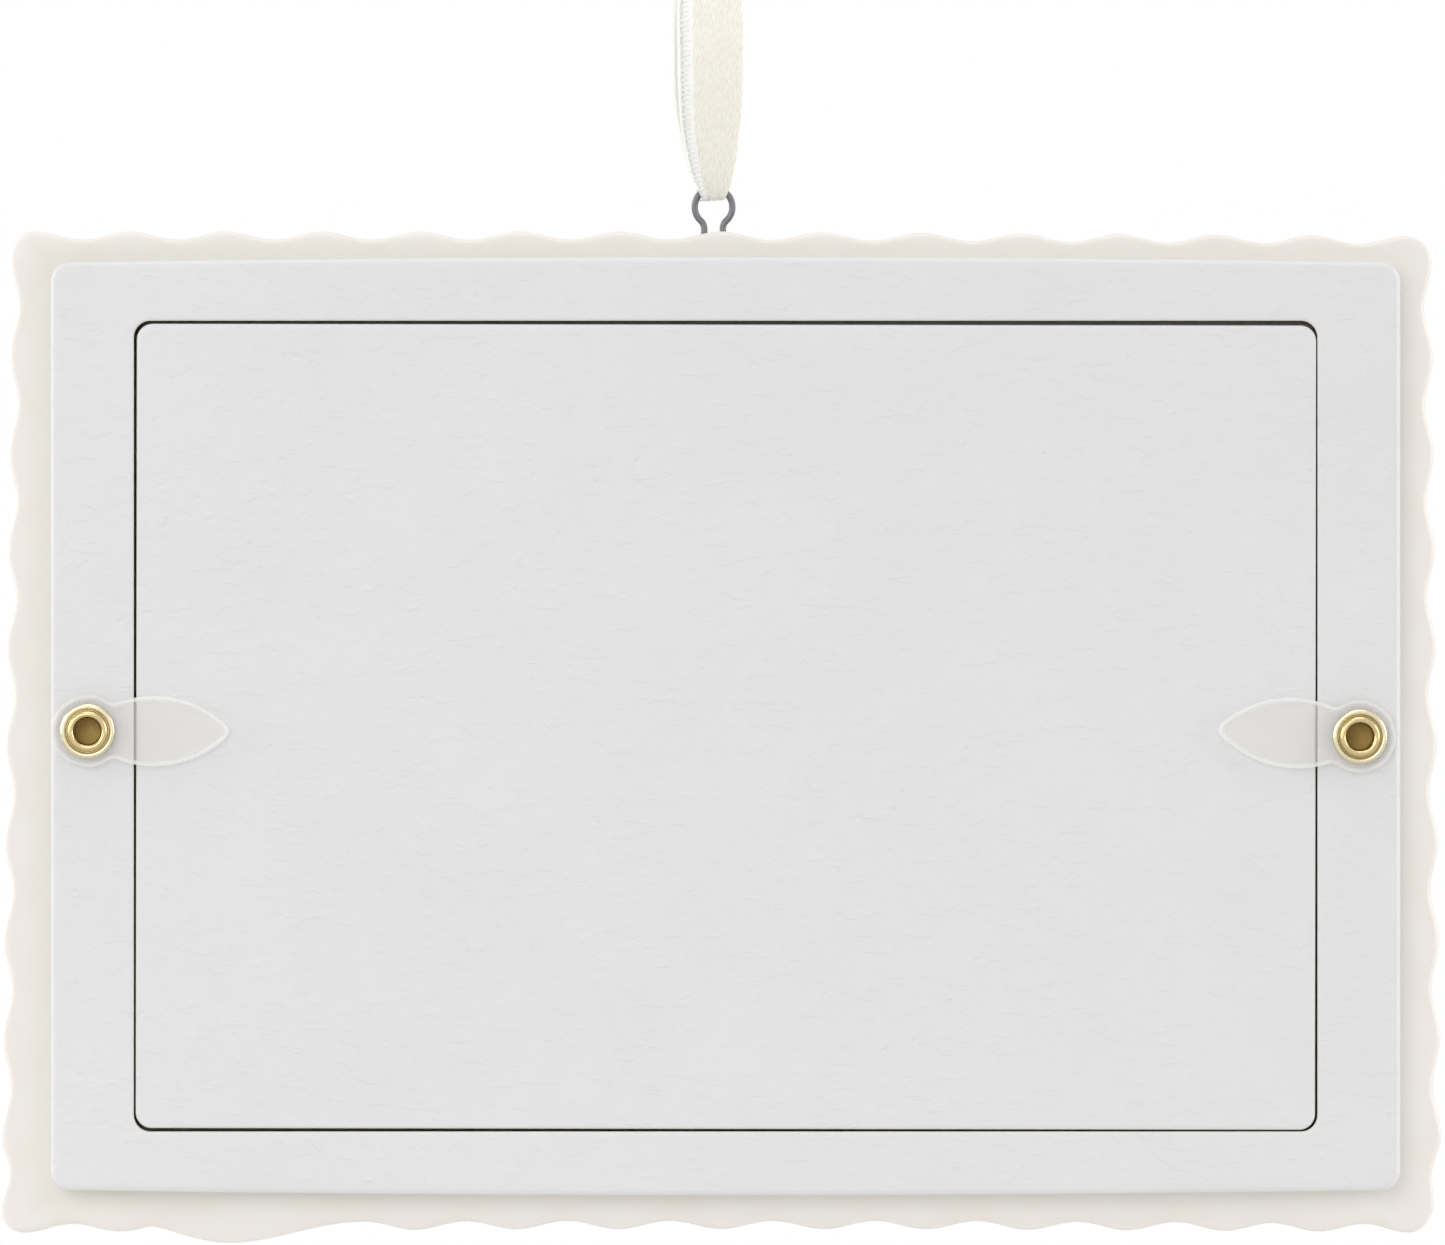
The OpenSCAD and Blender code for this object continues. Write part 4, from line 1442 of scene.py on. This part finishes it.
@dataclass
class TurnTab:
    """A clear leaf-shaped tab that turns about its eyelet."""

    side: Side
    levels: Levels
    pivot: Point
    turn_deg: float
    length: float = 12.8
    width: float = 6.4
    end_r: float = 3.3
    belly: float = 6.0
    tip_r: float = 0.85
    waist_r: float = 1.0
    thickness: float = 1.0
    bore_r: float = 1.505
    bore_ease: float = 0.1
    edge_round: float = 0.22
    rim_band: float = 0.28
    # Points along the tip, the side, the waist and the round end
    arc_points: tuple[int, int, int, int] = (12, 60, 20, 60)
    # Angles left out where an arc meets the one before it, so that no two points fall together
    side_skip: float = 0.01
    end_skip: float = 0.03
    edge_points: int = 5

    def half_plan(self) -> np.ndarray:
        """Upper half of the tab's outline, from its tip round to behind the pivot.

        Returns:
            The points, with the pivot at the origin.
        """
        reach = self.length - self.tip_r - self.belly
        side_r = (reach**2 + (self.width / 2) ** 2 - self.tip_r**2) / (self.width - 2 * self.tip_r)
        sink = side_r - self.width / 2
        from_pivot, from_side = self.end_r + self.waist_r, side_r + self.waist_r
        apart = math.hypot(self.belly, sink)
        along = (from_pivot**2 - from_side**2 + apart**2) / (2 * apart)
        off = math.sqrt(from_pivot**2 - along**2)
        waist = (along * np.array([self.belly, -sink]) + off * np.array([sink, self.belly])) / apart
        tip_a = math.atan2(sink, reach)
        side_a = math.atan2(waist[1] + sink, waist[0] - self.belly)
        end_a = math.atan2(waist[1], waist[0])

        def arc(centre: Sequence[float], radius: float, start: float, end: float, count: int) -> np.ndarray:
            """Points along an arc."""
            a = np.linspace(start, end, count)
            return np.column_stack([centre[0] + radius * np.cos(a), centre[1] + radius * np.sin(a)])

        tip, side, neck, end = self.arc_points
        return np.concatenate([
            arc((self.length - self.tip_r, 0), self.tip_r, 0, tip_a, tip),
            arc((self.belly, -sink), side_r, tip_a + self.side_skip, side_a - self.side_skip, side),
            arc(waist, self.waist_r, side_a - math.pi, end_a - math.pi, neck),
            arc((0, 0), self.end_r, end_a + self.end_skip, math.pi, end),
        ])

    def build(self, material: Material) -> Object:
        """Builds the tab on its own body.

        Args:
            material: Material of the piece.

        Returns:
            The finished piece.
        """
        upper = self.half_plan()
        plan = np.concatenate([upper, upper[-2:0:-1] * (1, -1)])
        heading = np.roll(plan, -1, axis=0) - np.roll(plan, 1, axis=0)
        outward = np.column_stack([heading[:, 1], -heading[:, 0]]) / np.linalg.norm(heading, axis=1)[:, None]
        facing = np.arctan2(plan[:, 1], plan[:, 0])
        bore = np.column_stack([np.cos(facing), np.sin(facing)])
        low, high, ease = self.levels.tab, self.levels.tab + self.thickness, self.bore_ease
        inner = plan - outward * (self.edge_round + self.rim_band)
        edge = rounding(self.edge_round, self.edge_points)
        stages = [(plan, low + self.thickness / 2, 1.0)]
        stages += [(plan - outward * inset, high - drop, 1.0) for inset, drop in edge]
        stages += [
            (inner, high, 0.0), (bore * (self.bore_r + ease), high, 0.0),
            (bore * self.bore_r, high - ease, 0.0), (bore * self.bore_r, low + ease, 0.0),
            (bore * (self.bore_r + ease), low, 0.0), (inner, low, 0.0),
        ]
        stages += [(plan - outward * inset, low + drop, 1.0) for inset, drop in reversed(edge)]
        turn = spin(self.turn_deg)
        rings, rim = stack([(shape @ turn + self.pivot, w, share) for shape, w, share in stages])
        name = f"{self.side.value}_tab"
        piece = make_piece(f"clear_{name}", [skin(rings, Shell.LOOPED)], material, {"rim": rim})
        return seat(piece, name, "clear_tab", name)


@dataclass
class Eyelet:
    """A hollow brass eyelet, the domed washer under its rolled rim, and an amber disc in its foot that paints
    the brass-tinted shade seen down the bore.
    """

    side: Side
    levels: Levels
    pivot: Point
    bore_r: float = 1.175
    barrel_r: float = 1.455
    rim_r: float = 1.9
    rim_h: float = 0.55
    flange_r: float = 2.3
    flange_t: float = 0.3
    washer_r: float = 2.5
    washer_bore_r: float = 1.505
    dome_in: float = 1.95
    dome_h: float = 0.28
    washer_ease: float = 0.08
    foot_air: float = 0.05
    bore_disc_t: float = 2.7
    bore_disc_air: float = 0.005
    turns: int = 72
    rim_points: int = 19
    dome_points: int = 15

    def lathe(self, profile: Sequence[Point]) -> Skin:
        """Turns a closed profile of radius and level about the pivot.

        Args:
            profile: Radius and level of each point.

        Returns:
            The turned skin.
        """
        r, w = np.array(profile).T
        rings = [
            np.column_stack([self.pivot[0] + r * math.cos(a), self.pivot[1] + r * math.sin(a), w])
            for a in np.linspace(0, math.tau, self.turns, endpoint=False)
        ]
        return skin(rings, Shell.LOOPED)

    def eyelet_profile(self) -> list[Point]:
        """Section of the eyelet: flange, barrel and rolled rim.

        Returns:
            Radius and level of each point.
        """
        low = self.levels.back + self.foot_air
        high = low + self.flange_t
        return [
            (self.bore_r, low), (self.flange_r, low), (self.flange_r, high), (self.barrel_r, high),
            (self.barrel_r, self.levels.rim),
            *bead(self.rim_r, self.bore_r, self.levels.rim, self.rim_h, self.rim_points),
        ]

    def bore_disc(self) -> Skin:
        """The amber disc that fills the foot of the eyelet's bore, a hair clear of the brass, painted with
        the brass-tinted shade seen down the bore.

        Returns:
            The disc's skin.
        """
        ring = (self.bore_r - self.bore_disc_air) * circle(self.turns) + self.pivot
        low = self.levels.back + self.foot_air
        return skin([level(ring, low), level(ring, low + self.bore_disc_t)], Shell.CAPPED)

    def washer_profile(self) -> list[Point]:
        """Section of the washer: flat seat and dome.

        Returns:
            Radius and level of each point.
        """
        low, ease = self.levels.washer, self.washer_ease
        return [
            (self.washer_bore_r, low), (self.washer_r - ease, low), (self.washer_r, low + ease),
            *bead(self.washer_r, self.dome_in, self.levels.rim, self.dome_h, self.dome_points),
            (self.washer_bore_r, self.levels.rim),
        ]

    def build(self, brass: Material, pale_brass: Material, bore_tint: Material) -> None:
        """Builds the eyelet, its paler washer and the amber disc of painted shade in its bore.

        Args:
            brass: Material of the eyelet.
            pale_brass: Material of the washer.
            bore_tint: Material of the disc, a painted reflection of the brass and painted shade.
        """
        side = self.side.value
        for name, profile, finish in (
            ("eyelet", self.eyelet_profile(), brass), ("washer", self.washer_profile(), pale_brass),
        ):
            piece = make_piece(f"brass_{side}_{name}", [self.lathe(profile)], finish)
            seat(piece, "root", "brass", f"{side}_{name}")
        seat(make_piece(f"amber_{side}_film", [self.bore_disc()], bore_tint), "root", "brass")


def walk(path: np.ndarray) -> np.ndarray:
    """Distance along a path at each of its points."""
    return np.concatenate([[0.0], np.cumsum(np.linalg.norm(np.diff(path, axis=0), axis=1))])


@dataclass
class WireHanger:
    """The bent wire: two legs in the frame's edge and an eye over it."""

    wire_r: float = 0.3
    eye_r: float = 1.72
    leg_half: float = 0.85
    bend_r: float = 0.9
    leg_foot: float = -12.0
    straight: float = 1.0
    sides: int = 24
    bend_points: int = 14
    eye_points: int = 40

    def route(self) -> np.ndarray:
        """Centre line, up the right leg, round the eye and down the left leg.

        Returns:
            The points, right of and above the top of the eye's centre line.
        """
        rise = math.sqrt((self.eye_r + self.bend_r) ** 2 - (self.leg_half + self.bend_r) ** 2)
        bend = np.array([self.leg_half + self.bend_r, -self.eye_r - rise])
        meet = math.atan2(rise, -self.leg_half - self.bend_r)
        lower = np.linspace(math.pi, meet, self.bend_points)
        upper = np.linspace(meet - math.pi, math.pi / 2, self.eye_points)[1:]
        right = np.concatenate([
            [[self.leg_half, self.leg_foot], [self.leg_half, bend[1] - self.straight]],
            bend + self.bend_r * np.column_stack([np.cos(lower), np.sin(lower)]),
            [0, -self.eye_r] + self.eye_r * np.column_stack([np.cos(upper), np.sin(upper)]),
        ])
        return np.concatenate([right, right[-2::-1] * (-1, 1)])

    def build(self) -> Object:
        """Builds the wire as one swept tube.

        Returns:
            The finished piece.
        """
        path = self.route()
        heading = np.gradient(path, axis=0)
        heading /= np.linalg.norm(heading, axis=1)[:, None]
        turn = np.linspace(0, math.tau, self.sides, endpoint=False)
        aside, out = self.wire_r * np.cos(turn), self.wire_r * np.sin(turn)
        rings = [
            np.column_stack([p[0] - aside * t[1], p[1] + aside * t[0], out]) for p, t in zip(path, heading)
        ]
        values = {
            "along_mm": np.repeat(walk(path), self.sides),
            "around_mm": np.tile(self.wire_r * np.abs(turn - math.pi), len(path)),
        }
        piece = make_piece("wire_hanger", [skin(rings, Shell.CAPPED)], DrawnSteel().make(), values, 60.0)
        return seat(piece, "root", "steel_wire", "hanger_wire")


@dataclass
class RibbonLoop:
    """The satin ribbon that hangs through the wire's eye, its knitted edge, and its knot."""

    cloth_w: float = 6.2
    cloth_t: float = 0.22
    full_w: float = 5.6
    pulled_w: float = 2.6
    cup: float = 0.22
    cup_lost: float = 0.16
    stations: int = 150
    across_points: int = 29
    edge_at: float = -2.25
    rung_pitch: float = 0.45
    rung_len: float = 1.1
    rung_d: float = 0.28
    rung_sides: int = 8
    rung_sizes: tuple[tuple[float, float, float], ...] = ((0.14, 0.7, 0.45), (0.3, 1.1, 1.05))
    rung_seed: int = 7
    knot_at: tuple[float, float, float] = (-0.5, 0.0, 22.1)
    knot_w: float = 5.2
    knot_deep: float = 4.2
    knot_h: float = 3.6
    turn_sunk: float = 0.35
    tail_len: float = 9.0
    tail_hidden: float = 0.8
    sharp_deg: float = 70.0
    turn_stations: int = 64
    turn_points: int = 20
    tail_stations: int = 26
    tail_points: int = 17
    neck_stations: int = 17
    neck_points: int = 48
    # Right, out of the back, up, and the width that shows, as in the part's source
    route_points: tuple[tuple[float, float, float, float], ...] = (
        (-0.55, -0.80, 21.8, 3.6), (-0.65, -1.60, 20.2, 4.8), (-0.75, -2.40, 18.2, 5.6),
        (-0.80, -3.00, 15.6, 6.0), (-0.85, -3.20, 12.8, 6.0), (-0.85, -3.00, 10.0, 6.0),
        (-0.75, -2.60, 7.2, 5.8), (-0.60, -2.10, 4.8, 5.2), (-0.40, -1.60, 2.6, 4.4),
        (-0.15, -1.15, 0.9, 3.4), (0.00, -0.85, -0.1, 2.8), (0.00, -0.50, -0.75, 2.4),
        (0.00, 0.00, -1.0, 2.1), (0.00, 0.50, -0.75, 2.4), (0.00, 0.85, -0.1, 2.9),
        (-0.10, 1.15, 0.9, 3.6), (-0.20, 1.60, 2.6, 4.5), (-0.30, 2.10, 4.8, 5.2),
        (-0.30, 2.60, 7.2, 5.7), (-0.30, 3.00, 10.0, 5.9), (-0.30, 3.20, 12.8, 6.0),
        (-0.35, 3.00, 15.6, 6.0), (-0.40, 2.40, 18.2, 5.6), (-0.45, 1.60, 20.2, 4.8),
        (-0.50, 0.80, 21.8, 3.6),
    )

    def route(self) -> np.ndarray:
        """The route's points, closer together on one smooth curve: u, v, w and width.

        Returns:
            The stations, one a row.
        """
        given = np.array(self.route_points)[:, [0, 2, 1, 3]]
        ends = np.concatenate([[2 * given[0] - given[1]], given, [2 * given[-1] - given[-2]]])
        fine = []
        for at in np.linspace(0, len(given) - 1, self.stations):
            i = min(int(at), len(given) - 2)
            t = at - i
            p0, p1, p2, p3 = ends[i : i + 4]
            square, cube = 2 * p0 - 5 * p1 + 4 * p2 - p3, 3 * p1 - p0 - 3 * p2 + p3
            fine.append(0.5 * (2 * p1 + (p2 - p0) * t + square * t**2 + cube * t**3))
        return np.array(fine)

    def facing(self, route: np.ndarray) -> np.ndarray:
        """Direction out of the loop at each station, square to the route in the side view.

        Args:
            route: The stations.

        Returns:
            One direction for each station.
        """
        heading = np.gradient(route[:, 1:3], axis=0)
        heading /= np.linalg.norm(heading, axis=1)[:, None]
        return np.column_stack([np.zeros(len(route)), -heading[:, 1], heading[:, 0]])

    def lift(self, q: np.ndarray, width: float) -> np.ndarray:
        """How far the cloth stands out of its route across its width: cupped, and pleated where gathered.

        Args:
            q: Places across the cloth, from -1 to 1.
            width: Width that shows at the station.

        Returns:
            The lift at each place.
        """
        pulled = float(np.clip((self.full_w - width) / (self.full_w - self.pulled_w), 0, 1))
        cup = self.cup - self.cup_lost * pulled
        return cup * (0.6 - q**2) + pulled * (0.05 * np.cos(3 * math.pi * q) + 0.03 * np.sin(7 * q))

    def section(self, count: int) -> tuple[np.ndarray, np.ndarray]:
        """Places across the cloth from -1 to 1, and half its thickness at each."""
        q = np.linspace(-1, 1, count)
        return q, np.sqrt(np.clip(1 - q**8, 0, 1)) * self.cloth_t / 2

    def cloth(self, material: Material) -> Object:
        """Builds the ribbon as one swept band, softly cupped and pleated into the eye.

        Args:
            material: Material of the piece.

        Returns:
            The finished piece.
        """
        route = self.route()
        out = self.facing(route)
        q, half = self.section(self.across_points)
        both = both_faces(q, q)
        rings = []
        for (u, v, w, width), n in zip(route, out):
            lift = self.lift(q, width)
            ring = np.array([u, v, w]) + both_faces(lift + half, lift - half)[:, None] * n
            ring[:, 0] += both * width / 2
            rings.append(ring)
        values = {
            "across_mm": np.tile(both * self.cloth_w / 2, len(route)),
            "along_mm": np.repeat(walk(route[:, :3]), len(both)),
        }
        return make_piece("satin_ribbon", [skin(rings, Shell.CAPPED)], material, values, self.sharp_deg)

    def rung_tree(self) -> Tree:
        """The node tree that lays a rung of thread at each pitch along the knitted edge.

        Returns:
            The tree.
        """
        tree, given = open_tree("knitted_edge", "Threads", {
            "Geometry": ["Line"], "Float": ["Pitch", "Rung length", "Thread diameter"],
            "Material": ["Finish"],
        })
        line = add(tree, "GeometryNodeMeshToCurve", {0: given["Line"]})
        spaced = add(
            tree, "GeometryNodeResampleCurve", {"Curve": line.outputs[0], "Length": given["Pitch"]},
            mode="LENGTH",
        )
        radius = add(
            tree, "ShaderNodeMath", {0: given["Thread diameter"], 1: 0.5}, operation="MULTIPLY",
        ).outputs[0]
        thread = add(
            tree, "GeometryNodeMeshCylinder",
            {
                "Vertices": self.rung_sides, "Side Segments": 1, "Radius": radius,
                "Depth": given["Rung length"],
            },
        )
        axes = [
            add(tree, "GeometryNodeInputNamedAttribute", {"Name": name}, data_type="FLOAT_VECTOR").outputs[0]
            for name in ("across", "outward")
        ]
        turned = add(
            tree, "FunctionNodeAxesToRotation", {0: axes[0], 1: axes[1]},
            primary_axis="Z", secondary_axis="X",
        )
        least, most = self.rung_sizes
        sizes = add(
            tree, "FunctionNodeRandomValue", {0: least, 1: most, "Seed": self.rung_seed},
            data_type="FLOAT_VECTOR",
        )
        rungs = add(tree, "GeometryNodeInstanceOnPoints", {
            "Points": spaced.outputs[0], "Instance": thread.outputs["Mesh"], "Rotation": turned.outputs[0],
            "Scale": sizes.outputs[0],
        })
        return close_tree(tree, rungs.outputs[0], given["Finish"])

    def rungs(self, material: Material) -> Object:
        """Builds the threads of the knitted edge.

        Args:
            material: Material of the piece.

        Returns:
            The finished piece.
        """
        route = self.route()
        out = self.facing(route)
        q = self.edge_at / (self.cloth_w / 2)
        points = []
        for (u, v, w, width), n in zip(route, out):
            over = float(self.lift(np.array(q), width)) + self.cloth_t / 2
            points.append(np.array([u + q * width / 2, v, w]) + n * over)
        mesh = bpy.data.meshes.new("knitted_edge")
        mesh.from_pydata(to_model(np.array(points)), [(i, i + 1) for i in range(len(points) - 1)], [])
        across = np.tile([[-1.0, 0.0, 0.0]], (len(points), 1))
        for name, vectors in (("across", across), ("outward", to_model(out) * 1000)):
            layer = mesh.attributes.new(name, "FLOAT_VECTOR", "POINT")
            layer.data.foreach_set("vector", vectors.astype(np.float32).ravel())
        mesh.materials.append(material)
        piece = bpy.data.objects.new("knitted_edge", mesh)
        bpy.context.scene.collection.objects.link(piece)
        laid = piece.modifiers.new("rungs", "NODES")
        laid.node_group = self.rung_tree()
        set_inputs(laid, {
            "Pitch": self.rung_pitch / 1000, "Rung length": self.rung_len / 1000,
            "Thread diameter": self.rung_d / 1000, "Finish": material,
        })
        return settle(piece, 60.0)

    def band(self, rise: float, tilt_deg: float, wide: float, thick: float) -> ClothPart:
        """A turn of ribbon round the knot.

        Args:
            rise: How far the turn's middle is over the knot's.
            tilt_deg: How far it leans.
            wide: Width of the turn.
            thick: How far its middle stands over its edges.

        Returns:
            The turn's skin, and the cloth's across and along numbers.
        """
        u, w, v = self.knot_at
        centre = np.array([u, v + self.knot_h / 2 + rise, w])
        half_w, half_deep = self.knot_w / 2 - self.turn_sunk, self.knot_deep / 2 - self.turn_sunk
        lean = math.radians(tilt_deg)
        sideways = np.array([math.cos(lean), math.sin(lean), 0.0])
        upward = np.array([-math.sin(lean), math.cos(lean), 0.0])
        outward = np.array([0.0, 0.0, 1.0])
        section = circle(self.turn_points)
        rings, across, along = [], [], []
        for a in np.linspace(0, math.tau, self.turn_stations, endpoint=False):
            radial = math.cos(a) * sideways + math.sin(a) * outward
            middle = centre + half_w * math.cos(a) * sideways + half_deep * math.sin(a) * outward
            squeeze = 1 + 0.12 * math.sin(2 * a + 1)
            flat = np.outer(section[:, 1] * wide / 2 * squeeze, upward)
            rings.append(middle + flat + np.outer(section[:, 0] * thick, radial))
            across.append(section[:, 1] * wide / 2 + 0.8)
            along.append(np.full(len(section), abs(a - math.pi) * (half_w + half_deep) / 2))
        return skin(rings, Shell.LOOPED), np.concatenate(across), np.concatenate(along)

    def tail(self, side: int) -> ClothPart:
        """One free end of the ribbon over the knot, with its end cut on the slant.

        Args:
            side: -1 for the tail towards the left and the front, 1 for the other.

        Returns:
            The tail's skin, and the cloth's across and along numbers.
        """
        q, half = self.section(self.tail_points)
        both = both_faces(q, q)
        rings, along = [], []
        u, w, v = self.knot_at
        length = self.tail_len - self.tail_hidden
        for f in np.linspace(0, 1, self.tail_stations):
            width = self.pulled_w * (1 + min(1.0, 1.5 * f))
            aside = side * (0.6 + 2.8 * f * f)
            out = side * (0.5 + 0.8 * f)
            lift = 0.35 * (1 - f) * np.cos(2 * math.pi * q) + 0.3 * f * (1 - q**2) * math.sin(3 * f)
            up = self.knot_h - 0.6 + length * f + 0.8 * both * side * f**3
            depth = both_faces(lift + half, lift - half)
            rings.append(np.column_stack([u + aside + both * width / 2, v + up, w + out + depth]))
            along.append(np.full(len(both), length * f))
        return skin(rings, Shell.CAPPED), np.tile(both * self.cloth_w / 2, len(rings)), np.concatenate(along)

    def neck(self) -> ClothPart:
        """The gathered cloth inside the knot.

        Returns:
            The neck's skin, and the cloth's across and along numbers.
        """
        u, w, v = self.knot_at
        turn = np.linspace(0, math.tau, self.neck_points, endpoint=False)
        rings, heights = [], np.linspace(0, 1, self.neck_stations)
        for f in heights:
            swell = (0.5 + 0.38 * math.sin(math.pi * f)) * (1 + 0.06 * np.cos(9 * turn + 2 * f))
            rings.append(np.column_stack([
                u + self.knot_w / 2 * swell * np.cos(turn), np.full(len(turn), v + self.knot_h * f),
                w + self.knot_deep / 2 * swell * np.sin(turn),
            ]))
        across = np.tile(2.0 * np.abs(turn - math.pi) / math.pi, len(rings))
        return skin(rings, Shell.CAPPED), across, np.repeat(self.knot_h * heights, len(turn))

    def knot(self, material: Material) -> Object:
        """Builds the knot: a gathered neck, two crossing turns and two tails.

        Args:
            material: Material of the piece.

        Returns:
            The finished piece.
        """
        turns = [self.band(-0.35, 24.0, 1.9, 0.34), self.band(0.35, -20.0, 1.7, 0.3)]
        parts = [self.neck(), *turns, self.tail(-1), self.tail(1)]
        skins, across, along = zip(*parts)
        values = {"across_mm": np.concatenate(across), "along_mm": np.concatenate(along)}
        return make_piece("satin_knot", skins, material, values, self.sharp_deg)

    def build(self) -> None:
        satin = WovenSatin().make()
        ribbon = self.cloth(satin)
        rungs = self.rungs(KnitThread().make())
        knot = self.knot(satin)
        seat(ribbon, "root", "satin_ribbon", "ribbon")
        seat(rungs, "root", "satin_ribbon")
        seat(knot, "root", "satin_ribbon", "ribbon_knot")


def dress_node(name: str, material: Material) -> None:
    """Gives a CAD node whose shape stays its own material.

    Args:
        name: The node's name.
        material: Its new material.
    """
    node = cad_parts[name]
    if not node.material_slots:
        node.data.materials.append(material)
    node.material_slots[0].material = material
    log.info("%s: CAD shape, dressed", name)


def main() -> None:
    """Builds the scene, from the studio to the ribbon."""
    logging.basicConfig(level=logging.INFO, format="%(message)s")
    levels = Levels()
    Studio().build()
    RibbonLoop().build()
    back = BoardBack(levels)
    front = WavyFrame(levels)
    front.build(CastResin().make(front.even_tone, back.centre, (back.width, back.height)))
    front.pane(ClearSheet().make())
    back.build()
    dress_node("picture_card", CardStock().make())
    plastic = ClearPlastic().make()
    brass = PressedBrass().make(low_mm=6.4, high_mm=7.5)
    pale = PressedBrass(name="pale_pressed_brass", bright="DDD2B1", deep="A39361")
    pale_brass = pale.make(low_mm=6.9, high_mm=7.35)
    bore_tint = PaintedBoreReflection().make()
    for side, pivot, turn in ((Side.LEFT, back.pivots[0], 0.0), (Side.RIGHT, back.pivots[1], 177.0)):
        TurnTab(side, levels, pivot, turn).build(plastic)
        Eyelet(side, levels, pivot).build(brass, pale_brass, bore_tint)
    WireHanger().build()


if __name__ == "__main__":
    main()
